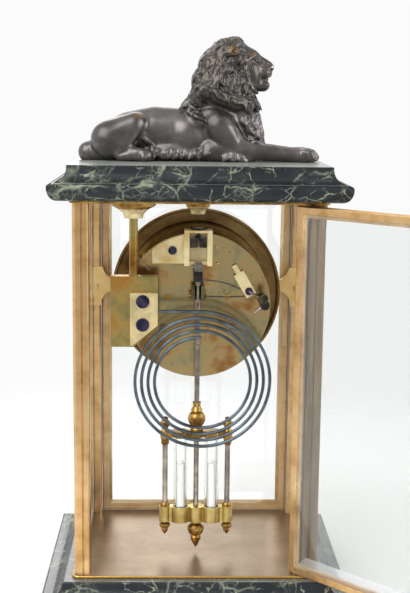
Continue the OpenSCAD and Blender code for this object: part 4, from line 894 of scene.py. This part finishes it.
def put_on_dial(mark, minute, radius, shape):
    """Lays a black mark at a minute of the dial, so far from its middle."""
    turned = Matrix.Rotation(math.radians(6 * minute), 4, "Y") @ Matrix.Translation(mm(0, 0, radius))
    mark.matrix_world = Matrix.Translation(mm(0, DIAL_Y - 0.03, CENTRE_Z)) @ turned @ shape
    bpy.ops.object.transform_apply()
    black_marks.append(mark)


for hour, number in enumerate(NUMBERS):
    bpy.ops.object.select_all(action="DESELECT")
    bpy.ops.object.text_add(location=(0, 0, 0))
    text = bpy.context.object
    text.data.body = number
    text.data.size = 13.5 * MM
    text.data.align_x = "CENTER"
    text.data.align_y = "CENTER"
    text.data.extrude = 0.03 * MM
    bpy.ops.object.convert(target="MESH")
    put_on_dial(bpy.context.object, 5 * hour, 42.5, STAND @ NARROW)
for radius in (50.6, 53.2):
    black_marks.append(turn("track_ring", [(radius, -0.06), (radius + 0.25, -0.06), (radius + 0.25, 0),
                                           (radius, 0)], (0, DIAL_Y, CENTRE_Z), "Y", 120, 0, True))
for minute in range(60):
    wide = 0.36 if minute % 5 else 1.0
    bpy.ops.object.select_all(action="DESELECT")
    bpy.ops.mesh.primitive_cube_add(size=1.0, location=(0, 0, 0))
    put_on_dial(bpy.context.object, minute, 52, Matrix.Diagonal((wide * MM, 0.06 * MM, 2.5 * MM, 1)))
fit(join("dial_numbers", black_marks), black_enamel, "enamel", "case")
eyelets = [turn("eyelet", [(3.0, 0.1), (3.0, -0.5), (3.6, -0.8), (4.3, -0.4), (4.3, 0.1)],
                (side * 21.5, DIAL_Y, CENTRE_Z + 6), "Y", 40, 0.1, True) for side in (-1, 1)]
fit(join("winding_eyelets", eyelets), gilt_brass, "gilt_brass", "case")

# %% [markdown]
# ## Lion
#
# A modeller builds such a figure up from lumps of wax, so here the masses of muscle are laid as balls and
# tapering rolls that run into one another. A voxel remesh welds them into one skin, and smoothing
# draws the skin over the seams.


# %% Lumps and rolls
def lump(x, y, h, long, wide, high):
    """An egg of modelling wax; h is the height above the marble."""
    bpy.ops.mesh.primitive_uv_sphere_add(segments=28, ring_count=16, radius=1, location=mm(x, y, LION_Z + h))
    piece = bpy.context.object
    piece.scale = (long * MM, wide * MM, high * MM)
    return piece


def roll(*stations):
    """A tapering roll through (x, y, h, radius) stations."""
    made = [lump(x, y, h, r, r, r) for x, y, h, r in stations]
    for (x0, y0, h0, r0), (x1, y1, h1, r1) in zip(stations, stations[1:]):
        start, end = mm(x0, y0, LION_Z + h0), mm(x1, y1, LION_Z + h1)
        bpy.ops.mesh.primitive_cone_add(vertices=28, radius1=r0 * MM, radius2=r1 * MM,
                                        depth=(end - start).length, location=(start + end) / 2)
        bpy.context.object.rotation_euler = (end - start).to_track_quat("Z", "Y").to_euler()
        made.append(bpy.context.object)
    return made


def both(*stations):
    """The same roll on both flanks."""
    return roll(*stations) + roll(*((x, -y, h, r) for x, y, h, r in stations))


def weld(name, parts, voxel, strokes):
    """Joins overlapping pieces, remeshes them to one skin and smooths it with so many strokes."""
    piece = join(name, parts)
    bpy.ops.object.transform_apply()
    apply_change(piece, "REMESH", mode="VOXEL", voxel_size=voxel * MM)
    apply_change(piece, "SMOOTH", factor=0.5, iterations=strokes)
    return piece


# %% Trunk, legs and head
wax = [lump(57.5, 0, 12.8, 18, 16.6, 17), lump(8, 0, 18.8, 19, 19.5, 16.8), lump(1, 0, 5, 16, 17, 8),
       lump(-12, 0, 27, 19, 19, 15.5), lump(77.2, 2, 5.5, 7.6, 9, 8), lump(69, 0, 5.6, 10, 13, 8),
       lump(20, 0, 7, 30, 18, 9), lump(-16, 0, 9, 18, 15, 10)]
wax += roll((48, 0, 17.8, 16.6), (31, 0, 20.6, 17.2), (8, 0, 19.2, 17.2))
wax += roll((8, 0, 18.8, 17.2), (-14, 0, 23, 16))
wax += both((62, 12.2, 15, 13.2), (44.4, 13.6, 25.2, 8.4)) + both((45, 14.6, 24.4, 8), (53, 16, 12, 8))
wax += both((54, 18.6, 4.6, 4.8), (43, 20.2, 5.2, 4.8), (36.4, 20.4, 4.2, 4.8))
wax += both((-14, 11.6, 24, 11.4), (-19, 13.6, 18, 9.8), (-25, 14, 10, 9))
wax += both((-22, 13, 8, 8), (-8, 12, 8, 8))
wax += both((-30.4, 16.2, 9, 6.8), (-46, 14.6, 6.4, 6), (-66, 12.8, 4.8, 4.9), (-75, 12.4, 4.4, 5.6))
wax += both((-11.4, 15.8, 6.6, 4.2), (-7, 15.4, 5.4, 3.6))
wax += [lump(-17.5, side * 17, 22.6, 6.4, 6.2, 6.4) for side in (-1, 1)]
wax += [lump(-9, side * 11.5, 31.5, 9.5, 8, 7) for side in (-1, 1)]
wax += [lump(-31, side * 15, 3.2, 9, 6, 5) for side in (-1, 1)]
wax += [lump(-23, side * 17.6, 3, 7, 4.6, 4.8) for side in (-1, 1)]
wax += roll((-27, 0, 42, 11.8), (-29.2, 0, 30, 12.4), (-33.6, 0, 19, 10.8), (-35.6, 0, 12, 9.6))
wax += roll((-17, 0, 42, 15), (-21, 0, 54, 14))
wax += [lump(-20, 0, 71, 12.4, 12.4, 12.6), lump(-14, 0, 64, 13.6, 14.6, 14.2),
        lump(-10.6, 0, 54, 14.6, 16.4, 14), lump(-8, 0, 43, 14.4, 17, 12), lump(-22, 0, 50, 16.8, 14.6, 13),
        lump(-28, 0, 70, 10.6, 11, 10), lump(-24.6, 0, 75, 9.6, 9.6, 9.2)]
wax += roll((-27, 0, 73, 9), (-35.4, 0, 70.2, 7.6)) + roll((-35, 0, 64.5, 8), (-45.6, 0, 61.6, 5.6))
wax += roll((-37, 0, 71, 4.8), (-48, 0, 66.2, 3.5)) + roll((-35, 0, 54.8, 7), (-45, 0, 52, 4))
wax += [lump(-35, side * 5.6, 60, 7, 5.2, 10) for side in (-1, 1)]
wax += both((-3.4, 14.6, 49.5, 4.6), (-13, 15.8, 43.6, 4.8), (-24, 14, 40, 5), (-33.6, 8.4, 39.4, 4.8))
wax += roll((-33.6, 8.4, 39.4, 4.8), (-36.6, 0, 39.4, 4.6), (-33.6, -8.4, 39.4, 4.8))
wax += both((6.5, 0, 38.2, 4.2), (6, 8.6, 35.6, 4), (3.4, 14, 30.6, 3.4), (-0.6, 17, 26.4, 2.8))
body = weld("lion_body", wax, 1.1, 9)
print("the smooth body has", len(body.data.vertices), "corners")

# %% [markdown]
# A lock of hair is a comma of metal, thick at its root and pointed at its tip. Two are modelled, one bent
# each way, and copied over the mane. A ray sent to the body finds a lock's root, and its direction
# is read from a short table of how the mane flows: back over the crown, down the neck, forward along
# the collar and down the chest.


# %% Two locks of hair
def lock_shape(name, bend):
    """A comma one unit long: rings of eight corners pulled along a bent line and drawn to a point."""
    bpy.ops.object.select_all(action="DESELECT")
    bpy.ops.mesh.primitive_circle_add(vertices=8, radius=0.5, fill_type="NGON",
                                      rotation=(0, math.radians(90), 0))
    piece = bpy.context.object
    piece.name = name
    bpy.ops.object.transform_apply()
    edit_mode(True)
    bpy.ops.mesh.select_all(action="SELECT")
    widths = [0.7, 1.05, 1.15, 1.05, 0.8, 0.5, 0.16]
    middle = Vector((0, 0, 0))
    for step, (before, width) in enumerate(zip([0.7] + widths, widths)):
        t = (step + 1) / len(widths)
        there = Vector((t, bend * 0.5 * math.sin(t * 4.4), 0.2 * math.sin(t * 3.1)))
        pull(there - middle)
        bpy.ops.transform.resize(value=[width / before] * 3, center_override=tuple(there))
        middle = there
    close_shape()
    return piece


locks = [lock_shape("lock_left", 1), lock_shape("lock_right", -1)]

# %% How the mane flows
FLOW = [(-23, 85, 1, -0.1), (-8, 78, 0.75, -0.65), (1, 63, 0.35, -0.95), (6, 47, 0.3, -1), (8, 36, -0.1, -1),
        (1, 27, -0.6, -0.8), (-18, 68, 0.4, -0.9), (-12, 56, 0.12, -1), (-24, 62, -0.05, -1),
        (-29, 53, -0.3, -0.95), (-31, 78, 0.5, -0.8), (-6, 47, -0.6, -0.7), (-23, 42, -0.9, -0.45),
        (-37, 40, -0.6, -0.8), (-35, 29, -0.25, -0.95), (-42, 20, -0.2, -1), (-30, 27, -0.35, -0.95)]
hair = []
roots = []
random.seed(11)


def flow_at(x, h):
    """The mane's direction near a place, averaged from the table by nearness."""
    total = Vector((0, 0))
    for fx, fh, dx, dh in FLOW:
        total += Vector((dx, dh)).normalized() / ((x - fx) ** 2 + (h - fh) ** 2 + 4)
    return total.normalized()


def comb(start, aim, length, wide, spacing, along=None, lift=0.05):
    """Roots one lock where a ray meets the body, unless another is too near."""
    hit, place, normal, _ = body.ray_cast(mm(start[0], start[1], LION_Z + start[2]), Vector(aim))
    if not hit or any((place - other).length < spacing * MM for other in roots):
        return
    roots.append(place)
    x, h = place.x / MM, place.z / MM - LION_Z
    dx, dh = along or flow_at(x, h)
    way = Vector((dx, 0.05 * random.uniform(-1, 1), dh))
    way = (way - normal * way.dot(normal)).normalized()
    way = Matrix.Rotation(math.radians(random.uniform(-14, 14)), 3, normal) @ way
    across = normal.cross(way)
    tilt = (way + normal * lift).normalized()
    up = tilt.cross(across)
    long = length * random.uniform(0.85, 1.2)
    turned = Matrix((tilt, across, up)).transposed().to_4x4()
    lock = random.choice(locks).copy()
    lock.data = lock.data.copy()
    bpy.context.scene.collection.objects.link(lock)
    size = Matrix.Diagonal((long * MM, wide * MM, wide * 0.8 * MM, 1))
    lock.matrix_world = Matrix.Translation(place - tilt * 0.25 * long * MM) @ turned @ size
    hair.append(lock)


# %% Locks of the mane
MANE = [(-23, 84), (-9, 79), (-2, 71), (3, 58), (6, 46), (9.5, 36), (5, 30), (1, 26.5), (-2, 25.5), (-2, 29),
        (1.5, 36), (-3, 45), (-12, 44.5), (-24, 39.5), (-30, 37), (-31, 26), (-36, 14), (-45, 13), (-42, 28),
        (-41, 40), (-40, 46), (-33, 50), (-31, 60), (-32, 68), (-30, 76), (-33, 80)]


def inside(x, h, corners):
    """Whether a place lies in an outline."""
    odd = False
    for (x0, h0), (x1, h1) in zip(corners, corners[1:] + corners[:1]):
        if (h0 > h) != (h1 > h) and x < (x1 - x0) * (h - h0) / (h1 - h0) + x0:
            odd = not odd
    return odd


for _ in range(1500):
    x, h, side = random.uniform(-46, 13), random.uniform(12, 88), random.choice((-1, 1))
    if inside(x, h, MANE) and abs(x + 22.8) + abs(h - 75.2) > 5:
        comb((x, side * 60, h), (0, -side, 0), 9.5, 2.5, 2.7)
for _ in range(500):
    comb((random.uniform(-29, 3), random.uniform(-11, 11), 120), (0, 0, -1), 9.5, 2.5, 2.7, (1, -0.3), 0)
for _ in range(700):
    h = random.uniform(38, 84)
    comb((80, random.uniform(-15, 15), h), (-1, 0, 0), 9.5, 2.5, 2.7, (0.3, -1), 0)
for _ in range(300):
    comb((-80, random.uniform(-9, 9), random.uniform(14, 46)), (1, 0, 0), 9.5, 2.4, 2.7, (-0.2, -1))
print(len(hair), "locks in the mane")

# %% Fringes on the belly and the flank fold
for side in (-1, 1):
    for step in range(17):
        comb((31 - step * 2.3, side * 60, 6.4 + 0.5 * math.sin(step * 1.7)), (0, -side, 0), 7.5, 2, 1.6,
             (0.3, -1), 0.12)
    for step in range(7):
        comb((-18 - step * 2.1, side * 60, 5.2 - abs(step - 2.5) * 0.6), (0, -side, 0), 7, 2, 1.5,
             (0.5 - step * 0.2, -1), 0.12)
    for step in range(9):
        comb((38 - step * 1.15, side * 60, 16.5 - step * 1.3), (0, -side, 0), 6, 1.7, 1.3, (-0.5, -0.9), 0.1)

# %% Paws, ears and features
features = []
for side in (-1, 1):
    for toe in range(4):
        features += roll((-74.5 + toe * 0.6, side * (8.8 + 2.4 * toe), 7, 2.4),
                         (-79 + toe * 0.8, side * (8.4 + 2.7 * toe), 6.2, 2.9),
                         (-81.4 + toe * 1.1, side * (8.2 + 2.8 * toe), 3.4, 3))
        features += roll((38.6, side * (18.4 + 1.6 * toe), 6.2, 2.1),
                         (32.8 + toe * 1.7, side * (17 + 2.5 * toe), 3, 2.6))
    bpy.ops.mesh.primitive_torus_add(major_radius=2.7 * MM, minor_radius=1.0 * MM, major_segments=28,
                                     minor_segments=10, location=mm(-23.2, side * 13.6, LION_Z + 75.6),
                                     rotation=(math.radians(-side * 72), math.radians(-22), 0))
    features.append(bpy.context.object)
    features += roll((-20.6, side * 11.5, 74.2, 3.4), (-22, side * 12.6, 75, 2.6))
    features += roll((-40.2, side * 3.4, 73.4, 1.5), (-37.4, side * 6.6, 72.6, 1.7),
                     (-34.6, side * 8.4, 70.4, 1.3))
    features.append(lump(-39.6, side * 5.6, 69.2, 1.9, 1.9, 1.9))
    features.append(lump(-45.4, side * 3, 61, 4.3, 3.4, 3.6))
    features.append(lump(-45.4, side * 1.6, 52.6, 3.8, 3, 3.6))
    border = [(-36, 8.2, 72.2, 0.9), (-33, 9.8, 69, 1.2), (-31.4, 10.8, 64.5, 1.4), (-31.6, 11, 59.5, 1.5),
              (-33.6, 10, 54.5, 1.4), (-37, 8.2, 50, 1.3), (-40.2, 5.4, 47.4, 1.2)]
    features += roll(*((x, side * y, h, r) for x, y, h, r in border))
features.append(lump(-49.2, 0, 65, 2.9, 3.8, 3.1))
lion = weld("lion_bronze", [body] + hair + features, 0.68, 1)
edit_mode(True)
bpy.ops.mesh.select_all(action="SELECT")
bpy.ops.mesh.bisect(plane_co=mm(0, 0, LION_Z + 0.05), plane_no=(0, 0, 1), use_fill=True, clear_inner=True)
edit_mode(False)
for lock in locks:
    bpy.data.objects.remove(lock)
print("the lion has", len(lion.data.polygons), "faces")

# %% [markdown]
# A chaser finishes the cast with punches and a graver. `chase` does the same to the mesh: it presses
# the surface in along a line, with a soft edge. It cuts the mouth, the nostrils, the eyes' corners,
# the gaps between the toes and the folds of skin.


# %% Chasing
def chase(piece, strokes):
    """Presses the skin in near each stroke: (line of points, radius, depth)."""
    tree = kdtree.KDTree(len(piece.data.vertices))
    for vertex in piece.data.vertices:
        tree.insert(vertex.co, vertex.index)
    tree.balance()
    moves = {}
    for line, radius, depth in strokes:
        points = [mm(x, y, LION_Z + h) for x, y, h in line]
        reach = {}
        for here, there in zip(points, points[1:] + points[-1:]):
            steps = max(1, int((there - here).length / (radius * MM * 0.35)))
            for step in range(steps):
                for _, index, far in tree.find_range(here.lerp(there, step / steps), radius * MM):
                    reach[index] = min(reach.get(index, 1.0), far / (radius * MM))
        for index, far in reach.items():
            moves[index] = moves.get(index, 0.0) + depth * MM * (1 - far * far) ** 2
    normals = {index: piece.data.vertices[index].normal.copy() for index in moves}
    for index, move in moves.items():
        piece.data.vertices[index].co -= normals[index] * move
    piece.data.update()


strokes = []
for side in (-1, 1):
    strokes += [([(-49.5, 0, 57.4), (-46.5, side * 4.4, 56.6), (-42.6, side * 6.2, 57.2),
                  (-40.8, side * 7.4, 58.4)], 1.2, 0.9),
                ([(-51.4, side * 1.9, 63.4), (-50.2, side * 3.2, 63.8)], 1.3, 1.3),
                ([(-42.5, side * 4.6, 70.6), (-38.2, side * 7.4, 69.2)], 1.2, 0.5),
                ([(-42, side * 4.8, 67.8), (-38.2, side * 7.2, 67.4)], 1.6, 0.8),
                ([(-49.4, side * 3.0, 66), (-44, side * 5, 66.2)], 1.8, 0.5),
                ([(-23.4, side * 15, 75.8)], 2.4, 2.2),
                ([(41, side * 17, 24), (43.5, side * 18, 14), (49, side * 20, 8)], 2.6, 1.2),
                ([(36, side * 17.5, 20), (30, side * 18.5, 9)], 2.5, 0.7),
                ([(-25.5, side * 19, 22), (-27, side * 20, 14)], 2.8, 0.8),
                ([(58, side * 24, 4), (50, side * 24, 7)], 2.2, 0.7)]
    for gap in range(3):
        strokes.append(([(-77 + gap * 0.7, side * (10.1 + 2.6 * gap), 9.4),
                         (-82 + gap, side * (9.7 + 2.8 * gap), 6.4),
                         (-85 + gap, side * (9.5 + 2.8 * gap), 2)], 1.1, 1.1))
        strokes.append(([(36.5, side * (19.2 + 1.8 * gap), 8),
                         (32 + gap * 1.6, side * (18.4 + 2.5 * gap), 2)], 1.0, 0.9))
chase(lion, strokes)
bpy.ops.object.shade_smooth()
fit(lion, dark_bronze, "patinated_bronze", "case", "lion")
